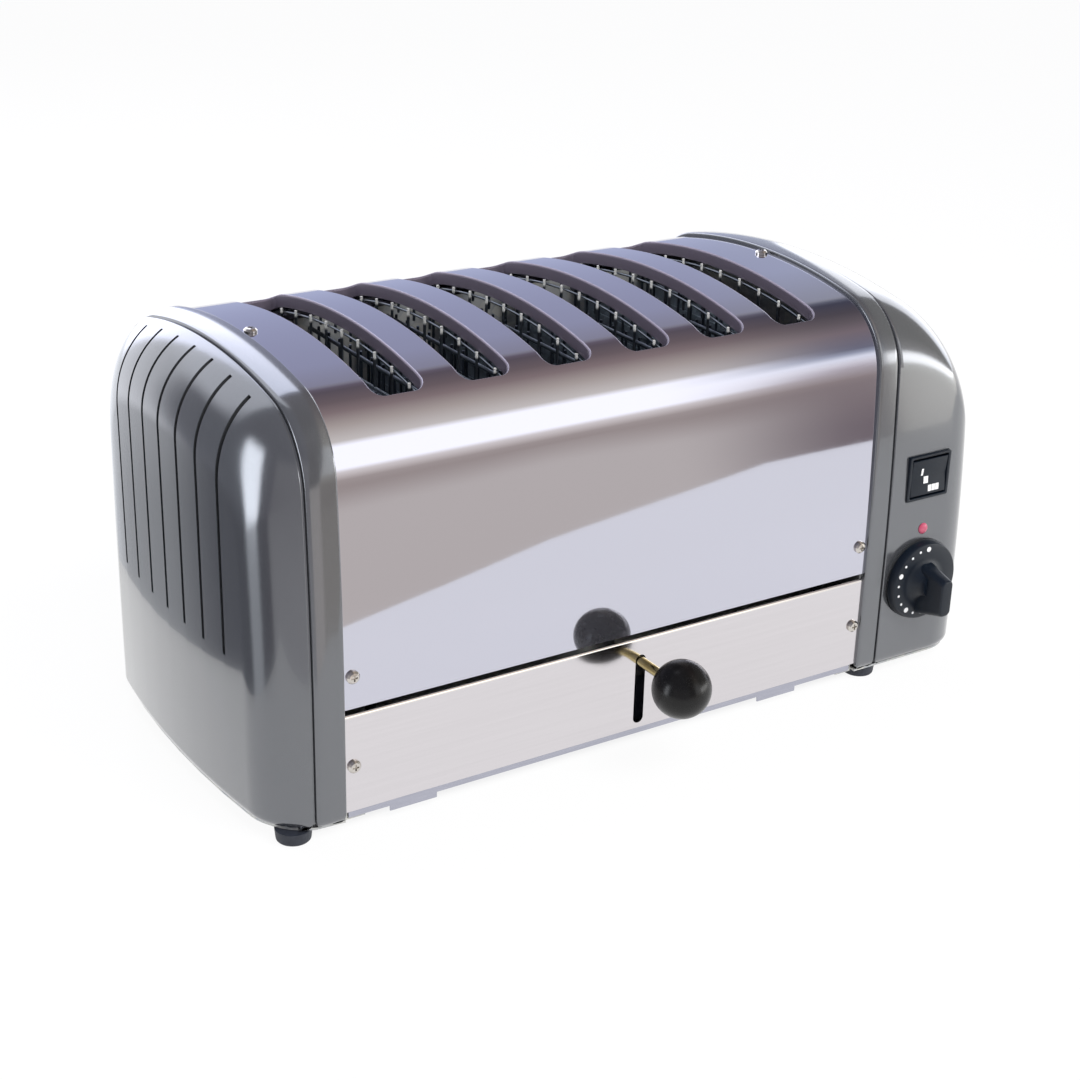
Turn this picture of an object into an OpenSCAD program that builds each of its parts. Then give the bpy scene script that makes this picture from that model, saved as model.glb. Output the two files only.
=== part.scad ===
// Commercial pop-up toaster with six slots, in millimetres.
// +Z is up, the front looks towards -Y and the controls are at the +X end.
// The origin lies on the table, under the middle of the whole object.

/* [Body] */
// Length over both end castings
total_length = 458; // [450:1:472]
// Depth of the wrap, front face to back face
body_depth = 216; // [210:1:226]
// Height of the top of the wrap above the table
wrap_top = 231.5; // [224:0.5:238]
// Radius of the crowned top
crown_r = 350; // [320:10:400]
// Radius of the shoulders between the top and the faces
shoulder_r = 40; // [36:1:46]
// Radius of the slight bulge of the upper front and back
face_r = 1800; // [1500:50:2400]
// Thickness of the polished sheet
sheet_t = 1; // [0.8:0.1:1.4]
// Height of the lower edge of the lower panels
panel_foot = 11.3; // [11:0.1:13]
// Height of the rolled top edge of the lower panels
panel_top = 66; // [63:0.5:68]
// Diameter of that rolled edge
panel_roll_d = 3; // [2.4:0.2:4]
// Gap between the lower panels and the wrap
panel_gap = 3.4; // [2.5:0.1:4.5]

/* [End castings] */
// Width of the plain end casting
left_end_w = 45; // [42:1:50]
// Width of the control end casting
right_end_w = 82; // [80:1:90]
// Height of the lower edge of the castings
casting_foot = 8; // [7:0.5:9]
// How far the castings stand out past the wrap
casting_proud = 2; // [1.5:0.5:3]
// Wall of the castings
casting_wall = 4; // [3:0.5:5]
// Length of the rounding of the plain end
left_round = 36; // [32:1:40]
// Depth of that rounding at the front and back edges
left_round_front = 29; // [22:1:32]
// Drop of that rounding at the top edge
left_round_top = 44; // [38:1:56]
// Length of the rounding of the plain end at its top edge
left_round_up = 35.5; // [32:0.5:40]
// Bow of the plain end face
left_bow = 9; // [5:0.5:10]
// Length of the rounding of the control end
right_round = 25.5; // [22:0.5:32]
// Depth of that rounding at the front and back edges
right_round_front = 10.5; // [9:0.5:16]
// Drop of that rounding at the top edge
right_round_top = 80; // [70:1:84]
// Length of the rounding of the control end at its top edge
right_round_up = 79; // [66:1:80]
// Bow of the control end face
right_bow = 5; // [3:0.5:8]
// Distance of the groove from the inner edge, plain end
left_groove = 17; // [14:0.5:20]
// Distance of the groove from the inner edge, control end
right_groove = 13.5; // [12:0.5:17]
// Width of the groove
groove_w = 2.4; // [1.6:0.2:3.2]
// Depth of the groove
groove_d = 1.4; // [0.8:0.2:1.8]
// Pitch of the cooling slots in the end faces
vent_pitch = 21; // [19:0.1:23]
// Width of a cooling slot
vent_w = 2.6; // [1.6:0.2:3]
// Height of the lower ends of the cooling slots
vent_foot = 91; // [84:1:98]
// Distance of the upper ends of the cooling slots from the groove
vent_clear = 5; // [4:0.5:8]

/* [Bread slots] */
// Pitch of the bread slots
slot_pitch = 48.5; // [47.5:0.1:49.5]
// Width of a bread slot
slot_w = 27.5; // [26.5:0.5:29]
// Distance of the bread slots' ends from the faces
slot_inset = 23; // [20:0.5:28]
// Corner radius of a bread slot
slot_r = 6; // [4:0.5:8]
// Depth of the turned-down edge of a bread slot
lip_d = 7; // [5:0.5:9]

/* [Cage and elements] */
// Distance of the cage plates from the faces
cage_inset = 26; // [25:0.5:30]
// Thickness of the inner steel plates
plate_t = 1.2; // [1:0.1:1.5]
// Height of the lower edge of the cage plates
cage_foot = 28; // [25:1:32]
// Room between the cage plates and the edges of the bread slots
cage_clear = 4; // [2:0.5:8]
// Height of the lower edge of a heating element
element_foot = 72; // [68:1:78]
// Distance of a heating element's top below the cage plates' edge
element_drop = 10; // [6:0.5:14]
// Thickness of a mica board
mica_t = 1.4; // [1:0.1:2]
// Width of the heating ribbon
ribbon_w = 3; // [2:0.5:4]
// Thickness of the heating ribbon
ribbon_t = 0.6; // [0.4:0.1:0.8]
// Turns of ribbon on a board
ribbon_turns = 11; // [8:1:14]
// Diameter of the guard rods
rod_d = 2.4; // [2:0.1:3]
// Diameter of the upright guard wires
wire_d = 1.6; // [1.2:0.1:1.8]
// Pitch of the upright guard wires
wire_pitch = 12.5; // [11:0.5:15]
// Distance of the guard rods from the middle of a bread slot
rod_x = 13.9; // [13.4:0.1:14.2]
// Distance of the upper guard rods below the cage plates' edge
rod_drop = 6; // [5:0.5:9]
// Height of the lower guard rods
rod_low = 66; // [62:0.5:68]

/* [Carriage] */
// Travel of the carriage from raised to lowered
carriage_travel = 33.5; // [30:0.5:34]
// Height of the bread racks when raised
rack_z = 118; // [114:1:122]
// Width of a bread rack
rack_w = 13; // [10:0.5:16]
// Thickness of rack and lift bar
rack_t = 1.5; // [1.2:0.1:2]
// Width of the arms that pass the cage plates
arm_w = 5; // [4:0.5:6]
// Height of those arms
arm_h = 9; // [8:0.5:12]
// Distance of the lift bar from the front face
lift_inset = 15; // [13:0.5:16]
// Height of the lift bar itself
lift_h = 18; // [14:1:20]
// Diameter of the guide posts
post_d = 6; // [5:0.5:7]
// Outer diameter of the guide bushes
bush_d = 11; // [10:0.5:12]
// Length of the guide bushes
bush_l = 22; // [18:1:26]
// Running clearance of the bushes, on the radius
bush_clear = 0.05; // [0.03:0.01:0.09]
// Distance of the guide posts from the wrap's ends
post_inset = 22; // [20:0.5:26]
// Height of the lower ends of the guide posts
post_foot = 30; // [28:0.5:36]
// Length of the guide posts above the bread racks
post_over = 54; // [40:1:60]
// Distance of the lever from the middle of the wrap
lever_x = 11.3; // [8:0.1:14]
// Height of the lever rod when raised
lever_z = 52.3; // [51.5:0.1:53.5]
// Diameter of the lever rod
lever_d = 5.5; // [5:0.1:6]
// Clearance of the lever rod in its slot
lever_clear = 0.5; // [0.4:0.1:0.8]
// Diameter of the ball knob
ball_d = 31.5; // [28:0.5:34]
// Distance of the ball's centre from the front panel
ball_reach = 37; // [34:0.5:44]

/* [Crumb tray] */
// Clearance between the tray and what it slides past
tray_clear = 0.4; // [0.3:0.1:0.6]
// Thickness of the tray
tray_t = 0.8; // [0.6:0.1:1]
// Thickness of the runners
runner_t = 1; // [0.8:0.1:1.2]
// Height of the runners' upstand beside the end plates
runner_up = 8; // [6:0.5:12]
// Height of the tray's edge
tray_h = 3.4; // [3.2:0.1:3.8]
// Width of the runners' lower flange
runner_w = 11; // [8:0.5:14]
// Width of a front tab
tab_w = 27; // [24:1:32]
// Depth of the tabs and the finger lip below the tray
tab_h = 3; // [2:0.2:3.4]
// Width of the finger lip at the back
lip_w = 70; // [50:1:90]
// Distance between the front tabs
tab_spacing = 235; // [220:1:250]
// Distance of the front tabs' middle from the middle of the wrap
tab_shift = -8.3; // [-14:0.1:-6]

/* [Controls] */
// Distance of the controls from the control casting's inner edge
control_x = 40.8; // [39:0.1:43]
// Height of the timer knob
timer_z = 58.5; // [57:0.5:61]
// Diameter of the timer knob's skirt
knob_d = 48.5; // [47:0.5:51]
// Thickness of the skirt
knob_skirt = 5; // [4.5:0.5:6.5]
// Height of the knob's grip in front of the skirt
knob_grip = 19; // [16:0.5:21]
// Width of the grip at the skirt
grip_w = 11; // [10:0.5:13]
// Length of the grip at the skirt
grip_l = 32; // [28:0.5:33]
// Diameter of the timer shaft
shaft_d = 6; // [5:0.5:7]
// Height of the indicator lamp
lamp_z = 89.5; // [89:0.5:92]
// Diameter of the indicator lamp
lamp_d = 6.6; // [6:0.2:8]
// Height of the selector
selector_z = 121.8; // [119:0.1:124]
// Width of the selector's frame
selector_w = 31; // [29:0.5:33]
// Height of the selector's frame
selector_h = 27; // [25:0.5:29]
// Tilt of the selector's rocker to either side
rocker_tilt = 9; // [6:1:10]
// Width and height of the timer's case
timer_w = 44; // [40:1:46]
// Depth of the timer's case
timer_deep = 30; // [26:1:34]
// Length of the terminal block
terminal_l = 44; // [38:1:50]
// Depth of the terminal block
terminal_w = 20; // [16:1:24]
// Height of the terminal block
terminal_h = 18; // [14:1:22]
// Pitch of the terminals
terminal_pitch = 13; // [11:0.5:14]
// Bore of a terminal
terminal_bore = 5; // [4:0.5:6]
// Distance of the terminal block from the back face
terminal_inset = 48; // [44:1:60]
// Height of the cable gland
gland_z = 44; // [38:1:50]
// Bore of the cable gland
gland_bore = 9; // [8:0.5:10]

/* [Feet and fasteners] */
// Diameter of a foot at its top
foot_d = 19; // [18:0.5:20]
// Diameter of a foot at its sole
foot_sole_d = 18; // [17:0.5:19]
// Thickness of the base covers
cover_t = 1.2; // [1:0.1:1.5]
// Distance of the feet from the front and back faces
foot_inset = 12; // [11:0.5:16]
// Distance of the left feet from the casting's inner edge
left_foot_x = 24; // [20:0.5:26]
// Distance of the right feet from the casting's inner edge
right_foot_x = 12; // [12:0.5:18]
// Diameter of a screw head
screw_head_d = 7; // [6:0.5:8]
// Height of a screw head
screw_head_h = 2.2; // [1.6:0.2:2.6]
// Diameter of a screw shank
screw_d = 3.5; // [3:0.5:4]
// Distance of the screws from the castings
screw_inset = 5; // [4.5:0.5:7]
// Distance of the top screws in front of the middle plane
screw_front = 3; // [0:0.5:10]
// Height of the upper screws on the faces
screw_high = 86.8; // [82:0.2:92]
// Height of the screws on the lower panels
screw_low = 37.5; // [32:0.5:42]

/* [Hidden] */
$fn = 64;
SLOTS = 6;
VENTS = 7;
half_depth = body_depth / 2;
slot_l = body_depth - 2 * slot_inset;
cage_y = half_depth - cage_inset;
lift_y = half_depth - lift_inset;
left_rim = -total_length / 2 + left_end_w;
right_rim = total_length / 2 - right_end_w;
wrap_mid = (left_rim + right_rim) / 2;
wrap_foot = panel_top + panel_gap;
fit_gap = 0.08;
seat_gap = 0.3;
casting_y = half_depth + casting_proud;
gland_reach = 13;
rod_over = 1.5;
seat_d = 2.4;
front_reach = half_depth + ball_reach + ball_d / 2;
rear_reach = casting_y + gland_reach;
body_y = (front_reach - rear_reach) / 2;
steel = "silver";
polished = "gainsboro";
zinc = "lightsteelblue";
black = [0.1, 0.1, 0.11];
paint = [0.5, 0.51, 0.52];

// Centres of the arcs of the arch, as [y, z], and the angles at which they meet
face_c = [face_r - half_depth, wrap_foot];
crown_c = [0, wrap_top - crown_r];
shoulder_c = inner_tangent(face_c, face_r - shoulder_r, crown_c, crown_r - shoulder_r);
face_angle = atan2(shoulder_c.y - face_c.y, face_c.x - shoulder_c.x);
crown_angle = atan2(crown_c.x - shoulder_c.x, shoulder_c.y - crown_c.y);
FACE_STEPS = 3;
SHOULDER_STEPS = 8;
CROWN_STEPS = 5;
ROUND_STEPS = 7;
FILL_STEPS = 4;
BOW_STEPS = 6;

// Places worked out from the sizes above
slot_end = max(0, slot_l / 2 + sheet_t + shoulder_c.x);
lip_foot = shoulder_c.y + sqrt(pow(shoulder_r - lip_d, 2) - pow(slot_end, 2));
cage_top = lip_foot - cage_clear;
rod_high = cage_top - rod_drop;
element_h = cage_top - element_drop - element_foot;
slot_list = [for (i = [0:SLOTS - 1]) wrap_mid + (i - (SLOTS - 1) / 2) * slot_pitch];
element_list = [for (i = [0:SLOTS]) wrap_mid + (i - SLOTS / 2) * slot_pitch];
vent_list = [for (i = [0:VENTS - 1]) (i - (VENTS - 1) / 2) * vent_pitch];
wire_count = floor(2 * (cage_y - 6) / wire_pitch) + 1;
wire_list = [for (i = [0:wire_count - 1]) (i - (wire_count - 1) / 2) * wire_pitch];
plate_in = sheet_t + fit_gap;
flange_w = screw_inset + screw_head_d;
rod_end = cage_y + plate_t + rod_over;
lever_at = wrap_mid + lever_x;
post_x = (right_rim - left_rim) / 2 - post_inset;
post_y = lift_y + rack_t / 2;
post_top = rack_z + post_over;
lug_d = bush_d + 3;
control_at = right_rim + control_x;
foot_h = casting_foot - cover_t;
foot_y = casting_y - foot_inset;
tray_top = panel_foot - tray_clear;
tray_foot = tray_top - tray_h;
tray_half = half_depth - 2;
runner_in = plate_t + runner_t;
runner_half = half_depth - plate_in - plate_t - seat_gap;
selector_seat = casting_y - seat_d;
ball_y = -half_depth - ball_reach;

// Point at distances ra and rb from the points a and b, on the upper left of the two that exist
function inner_tangent(a, ra, b, rb) =
    let (d = norm(b - a), e = (b - a) / d)
    let (along = (ra * ra - rb * rb + d * d) / (2 * d))
    a + along * e + sqrt(ra * ra - along * along) * [e.y, -e.x];

// Point of an arc, with the angle counted from the front upwards
function on_arc(c, r, a) = c + r * [-cos(a), sin(a)];

// Outline of the arch from the front foot over the top to the back foot, out past the wrap by off
function front_half(off) = concat(
    [[-half_depth - off, casting_foot]],
    [for (i = [0:FACE_STEPS]) on_arc(face_c, face_r + off, face_angle * i / FACE_STEPS)],
    [for (i = [1:SHOULDER_STEPS]) on_arc(shoulder_c, shoulder_r + off,
        face_angle + (90 - crown_angle - face_angle) * i / SHOULDER_STEPS)],
    [for (i = [1:CROWN_STEPS])
        on_arc(crown_c, crown_r + off, 90 - crown_angle + crown_angle * i / CROWN_STEPS)]
);
function arch_outline(off) =
    let (half = front_half(off), last = len(half) - 1)
    concat(half, [for (i = [last - 1:-1:0]) [-half[i].x, half[i].y]]);

// Area under the arch in the plane across the body, drawn in by depth; x is depth-wise, y is up
module arch_area(depth) {
    far = 2 * body_depth;
    difference() {
        intersection() {
            translate(face_c) circle(face_r - depth, $fn = 720);
            translate([-face_c.x, face_c.y]) circle(face_r - depth, $fn = 720);
            translate(crown_c) circle(crown_r - depth, $fn = 720);
            translate([-half_depth, wrap_foot]) square([body_depth, wrap_top]);
        }
        for (side = [0, 1])
            mirror([side, 0]) difference() {
                polygon([shoulder_c, on_arc(shoulder_c, far, face_angle), on_arc(shoulder_c, far, 45),
                    on_arc(shoulder_c, far, 90 - crown_angle)]);
                translate(shoulder_c) circle(shoulder_r - depth + blend, $fn = 120);
            }
    }
}
blend = 0.002;

// Band that follows the arch between two places along X, from one depth below the wrap's face to another
module arch_band(x0, x1, from, to) {
    translate([x0, 0, 0]) rotate([90, 0, 90]) linear_extrude(x1 - x0) difference() {
        arch_area(from);
        translate([0, from > 0 ? -1 : 0]) arch_area(to);
        translate([-half_depth + to, wrap_foot - 1]) square([body_depth - 2 * to, 2]);
    }
}

module rounded_rect(w, h, r) {
    flat_w = w - 2 * r;
    square([flat_w, h], center = true);
    square([w, h - 2 * r], center = true);
    for (x = [-1, 1], y = [-1, 1])
        translate([x * flat_w / 2, y * (h / 2 - r)]) circle(r);
}

module along_y(y0, y1, d) {
    translate([0, y0, 0]) rotate([-90, 0, 0]) cylinder(h = y1 - y0, d = d);
}

// Shell of an end casting: the arch outline drawn in to a bowed end face, with a groove round it.
// The inner edge lies at x = 0 and the end grows towards +X.
// An end is [width, rounding at the faces, rounding at the top, depth drawn in, drop, bow, groove].
LEFT_END = [
    left_end_w, left_round, left_round_up,
    left_round_front, left_round_top, left_bow, left_groove
];
RIGHT_END = [
    right_end_w, right_round, right_round_up,
    right_round_front, right_round_top, right_bow, right_groove
];

function end_reach(y, w, bow) = w - bow * pow(y / half_depth, 2);

// One ring of the shell, at the distance s from the inner edge, or k of the way from there to the end face
function shell_ring(off, end, w, s, k, depth) =
    let (start = end[0] - end[1], start_up = end[0] - end[2])
    [for (o = arch_outline(off))
        let (e = [o.x * (1 - end[3] / (half_depth + off)),
                  casting_foot + (o.y - casting_foot) * (1 - end[4] / (wrap_top + off - casting_foot))])
        let (reach = end_reach(o.x, w, end[5]))
        let (turn0 = s <= start ? 0 : asin((s - start) / (reach - start)))
        let (turn = turn0 + (90 - turn0) * k)
        let (along = k == 0 ? s : start + (reach - start) * sin(turn))
        let (up = along <= start_up ? 1 : sqrt(max(0, 1 - pow((along - start_up) / (reach - start_up), 2))))
        let (p = e + [(o.x - e.x) * cos(turn), (o.y - e.y) * up] - depth * (o - e) / norm(o - e))
        [k == 0 ? s : start + (end_reach(p.x, w, end[5]) - start) * sin(turn), p.x, p.y]];

function shell_skin(off, end, w, depth) =
    let (start = end[0] - end[1], groove = end[6], past = groove + groove_w / 2)
    let (room = start > past + groove_w)
    let (fill = room ? [for (i = [1:FILL_STEPS]) past + (start - past) * i / FILL_STEPS] : [])
    let (last = len(fill) > 0 ? start : past)
    concat(
        [for (s = [0, groove - groove_w / 2]) shell_ring(off, end, w, s, 0, 0)],
        [shell_ring(off, end, w, groove, 0, depth), shell_ring(off, end, w, past, 0, 0)],
        [for (s = fill) shell_ring(off, end, w, s, 0, 0)],
        [for (i = [1:ROUND_STEPS]) shell_ring(off, end, w, last, i / ROUND_STEPS, 0)]
    );

// Points of the bowed end face inside its last ring, row by row from the foot to the top
function face_rows(ring, apex, w, bow) = [
    for (i = [0:apex - 1], k = [1:BOW_STEPS - 1])
        let (y = ring[i].y * (1 - 2 * k / BOW_STEPS))
        [end_reach(y, w, bow), y, ring[i].z]
];

function flat(list) = [for (part = list) for (item = part) item];
function split_quads(quads, turned) = [
    for (q = quads)
        for (t = [[q[0], q[1], q[2]], [q[0], q[2], q[3]]])
            if (t[0] != t[1] && t[1] != t[2] && t[2] != t[0]) turned ? [t[2], t[1], t[0]] : t
];

module casting_shell(end) {
    w = end[0];
    bow = end[5];
    outer = shell_skin(casting_proud, end, w, groove_d);
    inner = shell_skin(casting_proud - casting_wall, end, w - casting_wall, 0);
    rings = len(outer);
    n = len(outer[0]);
    apex = (n - 1) / 2;
    outer_rows = face_rows(outer[rings - 1], apex, w, bow);
    inner_rows = face_rows(inner[rings - 1], apex, w - casting_wall, bow);
    size = rings * n + len(outer_rows);
    at = function(base, r, u) base + r * n + u;
    on_face = function(base, i, k)
        i == apex || k == 0 ? at(base, rings - 1, i)
        : k == BOW_STEPS ? at(base, rings - 1, n - 1 - i)
        : base + rings * n + i * (BOW_STEPS - 1) + k - 1;
    skin = function(base) concat(
        [for (r = [0:rings - 2], u = [0:n - 2])
            [at(base, r, u), at(base, r, u + 1), at(base, r + 1, u + 1), at(base, r + 1, u)]],
        [for (i = [0:apex - 1], k = [0:BOW_STEPS - 1])
            [on_face(base, i, k), on_face(base, i + 1, k),
                on_face(base, i + 1, k + 1), on_face(base, i, k + 1)]]
    );
    edges = concat(
        [for (u = [0:n - 2]) [at(size, 0, u), at(size, 0, u + 1), at(0, 0, u + 1), at(0, 0, u)]],
        [for (r = [0:rings - 2]) [at(0, r, 0), at(0, r + 1, 0), at(size, r + 1, 0), at(size, r, 0)]],
        [for (r = [0:rings - 2])
            [at(size, r, n - 1), at(size, r + 1, n - 1), at(0, r + 1, n - 1), at(0, r, n - 1)]],
        [for (k = [0:BOW_STEPS - 1])
            [on_face(size, 0, k), on_face(0, 0, k), on_face(0, 0, k + 1), on_face(size, 0, k + 1)]]
    );
    polyhedron(
        points = concat(flat(outer), outer_rows, flat(inner), inner_rows),
        faces = concat(split_quads(skin(0), false), split_quads(skin(size), true), split_quads(edges, false))
    );
}

// Cutters for the cooling slots of an end face, from a distance past the inner edge
module vents(from, w) {
    for (y = vent_list)
        translate([from + groove_w / 2 + vent_clear, y - vent_w / 2, vent_foot])
            cube([w, vent_w, wrap_top]);
}

module end_casting_left() {
    color(paint) translate([left_rim, 0, 0]) mirror([1, 0, 0]) difference() {
        casting_shell(LEFT_END);
        vents(left_groove, left_end_w);
    }
}

module end_casting_right() {
    deep = 3 * casting_wall;
    color(paint) difference() {
        translate([right_rim, 0, 0]) difference() {
            casting_shell(RIGHT_END);
            vents(right_end_w - right_round, right_end_w);
        }
        translate([control_at, -casting_y, timer_z]) along_y(-deep, deep, timer_bush_d + 2 * seat_gap);
        translate([control_at, -casting_y, lamp_z]) along_y(-deep, deep, lamp_d + 2 * seat_gap);
        translate([control_at, -selector_seat - deep / 2, selector_z])
            cube([selector_w + 2 * fit_gap, deep, selector_h + 2 * fit_gap], center = true);
        translate([control_at, -casting_y, selector_z])
            cube([switch_w + 2 * seat_gap, 2 * deep, switch_h + 2 * seat_gap], center = true);
        translate([control_at, casting_y, gland_z]) along_y(-deep, deep, gland_thread_d + 2 * seat_gap);
    }
}

// One polished sheet over the front, top and back, with the bread slots' edges turned down
module body_wrap() {
    color(polished) difference() {
        union() {
            arch_band(left_rim, right_rim, 0, sheet_t);
            for (x = slot_list)
                intersection() {
                    arch_band(x - slot_w, x + slot_w, sheet_t / 2, lip_d);
                    translate([x, 0, 0]) linear_extrude(wrap_top) difference() {
                        rounded_rect(slot_w + 2 * sheet_t, slot_l + 2 * sheet_t, slot_r + sheet_t);
                        rounded_rect(slot_w, slot_l, slot_r);
                    }
                }
        }
        for (x = slot_list)
            translate([x, 0, wrap_foot + shoulder_r]) linear_extrude(wrap_top)
                rounded_rect(slot_w, slot_l, slot_r);
        screw_places() screw_hole();
    }
}

// Polished strip below the wrap: rolled top edge, foot folded in
module lower_panel(with_lever) {
    difference() {
        union() {
            translate([left_rim, -half_depth, panel_foot])
                cube([right_rim - left_rim, sheet_t, panel_top - panel_roll_d / 2 - panel_foot]);
            translate([left_rim, -half_depth + panel_roll_d / 2, panel_top - panel_roll_d / 2])
                rotate([0, 90, 0]) cylinder(h = right_rim - left_rim, d = panel_roll_d);
            translate([left_rim + runner_in + seat_gap, -half_depth, panel_foot])
                cube([right_rim - left_rim - 2 * (runner_in + seat_gap), panel_fold, sheet_t]);
        }
        if (with_lever)
            translate([lever_at, -half_depth, lever_z - carriage_travel / 2]) rotate([90, 0, 0])
                linear_extrude(4 * sheet_t, center = true)
                    rounded_rect(lever_slot_w, lever_slot_h, lever_slot_w / 2 - 0.01);
        screw_places() screw_hole();
    }
}
panel_fold = 9;
lever_slot_w = lever_d + 2 * lever_clear;
lever_slot_h = carriage_travel + lever_slot_w + 2 * lever_clear;

module front_lower_panel() {
    color(polished) lower_panel(true);
}

module rear_lower_panel() {
    color(polished) mirror([0, 1, 0]) lower_panel(false);
}

// Pressed plate at each end of the wrap: a flange under the sheet takes the screws
module end_plate(side) {
    rim = side < 0 ? left_rim : right_rim;
    x0 = side < 0 ? rim : rim - plate_t;
    flange_x = side < 0 ? rim : rim - flange_w;
    mid_in = plate_in + plate_t / 2;
    color(zinc) difference() {
        union() {
            translate([x0, 0, 0]) rotate([90, 0, 90]) linear_extrude(plate_t) arch_area(mid_in);
            translate([x0, -half_depth + mid_in, panel_foot])
                cube([plate_t, body_depth - 2 * mid_in, wrap_foot + 10 - panel_foot]);
            arch_band(flange_x, flange_x + flange_w, plate_in, plate_in + plate_t);
            for (y = [-half_depth + plate_in, half_depth - plate_in - plate_t])
                translate([flange_x, y, fold_top]) cube([flange_w, plate_t, roll_foot - fold_top]);
            for (z = [post_foot, post_top - plate_t])
                translate([side < 0 ? rim : wrap_mid + post_x - lug_d / 2, -post_y - lug_d / 2, z])
                    cube([right_rim - wrap_mid - post_x + lug_d / 2, lug_d, plate_t]);
        }
        translate([wrap_mid + side * post_x, -post_y, 0])
            cylinder(h = wrap_top, d = post_d + 2 * bush_clear);
        translate([x0 - plate_t, 0, wire_pass_z]) rotate([0, 90, 0])
            cylinder(h = 3 * plate_t, d = wire_pass_d);
        for (y = [-half_depth + panel_roll_d / 2, half_depth - panel_roll_d / 2])
            translate([rim - flange_w, y, panel_top - panel_roll_d / 2]) rotate([0, 90, 0])
                cylinder(h = 2 * flange_w, d = panel_roll_d + 2 * fit_gap);
        screw_places() screw_hole();
    }
}
wire_pass_d = 26;
wire_pass_z = 40;
fold_top = panel_foot + sheet_t + fit_gap;
roll_foot = panel_top - panel_roll_d - fit_gap;

// Plate across the body: notches from above hold the elements, holes the guard rods, slots pass the racks
module cage_plate(side) {
    y = side < 0 ? -cage_y - plate_t : cage_y;
    slot_low_z = rack_z - carriage_travel - arm_h - 2;
    color(zinc) difference() {
        translate([left_rim + plate_t, y, cage_foot])
            cube([right_rim - left_rim - 2 * plate_t, plate_t, cage_top - cage_foot]);
        for (x = element_list)
            translate([x - mica_t / 2 - fit_gap, y - plate_t, element_foot])
                cube([mica_t + 2 * fit_gap, 3 * plate_t, cage_top]);
        for (x = slot_list) {
            translate([x - arm_w / 2 - lever_clear, y - plate_t, slot_low_z])
                cube([arm_w + 2 * lever_clear, 3 * plate_t, rack_z + 2 - slot_low_z]);
            for (dx = [-rod_x, rod_x], z = [rod_low, rod_high])
                translate([x + dx, 0, z]) along_y(y - plate_t, y + 2 * plate_t, rod_d + 2 * fit_gap);
        }
    }
}

module base_cover(side) {
    end = side < 0 ? LEFT_END : RIGHT_END;
    w = end[0] - casting_wall / 2;
    skin = shell_skin(casting_proud - casting_wall / 2, end, w, 0);
    edge = [for (ring = skin) [ring[0].x, ring[0].y]];
    end_y = edge[len(edge) - 1].y;
    bowed = [for (k = [1:BOW_STEPS - 1]) let (y = end_y * (1 - 2 * k / BOW_STEPS))
        [end_reach(y, w, end[5]), y]];
    back = [for (i = [len(edge) - 1:-1:0]) [edge[i].x, -edge[i].y]];
    color(zinc) translate([side < 0 ? left_rim : right_rim, 0, foot_h]) mirror([side < 0 ? 1 : 0, 0, 0])
        linear_extrude(cover_t) polygon(concat(edge, bowed, back));
}

// Angle strip under each end plate, on which the crumb tray slides
module tray_runner(side) {
    x = side < 0 ? left_rim + plate_t : right_rim - plate_t - runner_t;
    flange_x = side < 0 ? x : x + runner_t - runner_w;
    color(zinc) {
        translate([x, -runner_half, tray_foot - fit_gap - runner_t])
            cube([runner_t, 2 * runner_half, panel_foot + runner_up - tray_foot + fit_gap + runner_t]);
        translate([flange_x, -runner_half, tray_foot - fit_gap - runner_t])
            cube([runner_w, 2 * runner_half, runner_t]);
    }
}

module crumb_tray() {
    x0 = left_rim + runner_in + tray_clear;
    l = right_rim - left_rim - 2 * (runner_in + tray_clear);
    tab_mid = wrap_mid + tab_shift;
    color(steel) {
        difference() {
            translate([x0, -tray_half, tray_foot]) cube([l, 2 * tray_half, tray_top - tray_foot]);
            translate([x0 + tray_t, -tray_half + tray_t, tray_foot + tray_t])
                cube([l - 2 * tray_t, 2 * (tray_half - tray_t), tray_top]);
        }
        for (side = [-1, 1])
            translate([tab_mid + side * tab_spacing / 2 - tab_w / 2, -tray_half, tray_foot - tab_h])
                cube([tab_w, tray_t, tab_h + tray_t]);
        translate([wrap_mid - lip_w / 2, tray_half - tray_t, tray_foot - tab_h])
            cube([lip_w, tray_t, tab_h + tray_t]);
    }
}

module foot(x, y) {
    color(black) translate([x, y, 0]) rotate_extrude() polygon([
        [0, 0], [foot_sole_d / 2 - 1, 0], [foot_sole_d / 2, 1], [foot_d / 2, foot_h], [0, foot_h]
    ]);
}

// Mica board with heating ribbon wound across both faces
module heating_element(x) {
    step = element_h / (ribbon_turns + 1);
    color("tan") {
        translate([x - mica_t / 2, -rod_end, element_foot]) cube([mica_t, 2 * rod_end, element_h]);
        for (i = [1:ribbon_turns])
            translate([x - mica_t / 2 - ribbon_t, -cage_y + 8, element_foot + i * step - ribbon_w / 2])
                cube([mica_t + 2 * ribbon_t, 2 * cage_y - 16, ribbon_w]);
    }
}

// Upright wires welded to an upper and a lower rod, on the side of the bread
module guard(x, side) {
    weld_x = (rod_d + wire_d) / 2 - 0.1;
    color(steel) translate([x + side * rod_x, 0, 0]) {
        for (z = [rod_low, rod_high]) translate([0, 0, z]) along_y(-rod_end, rod_end, rod_d, $fn = 32);
        for (y = wire_list)
            translate([-side * weld_x, y, rod_low - rod_d])
                cylinder(h = rod_high - rod_low + 2 * rod_d, d = wire_d, $fn = 24);
    }
}

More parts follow.
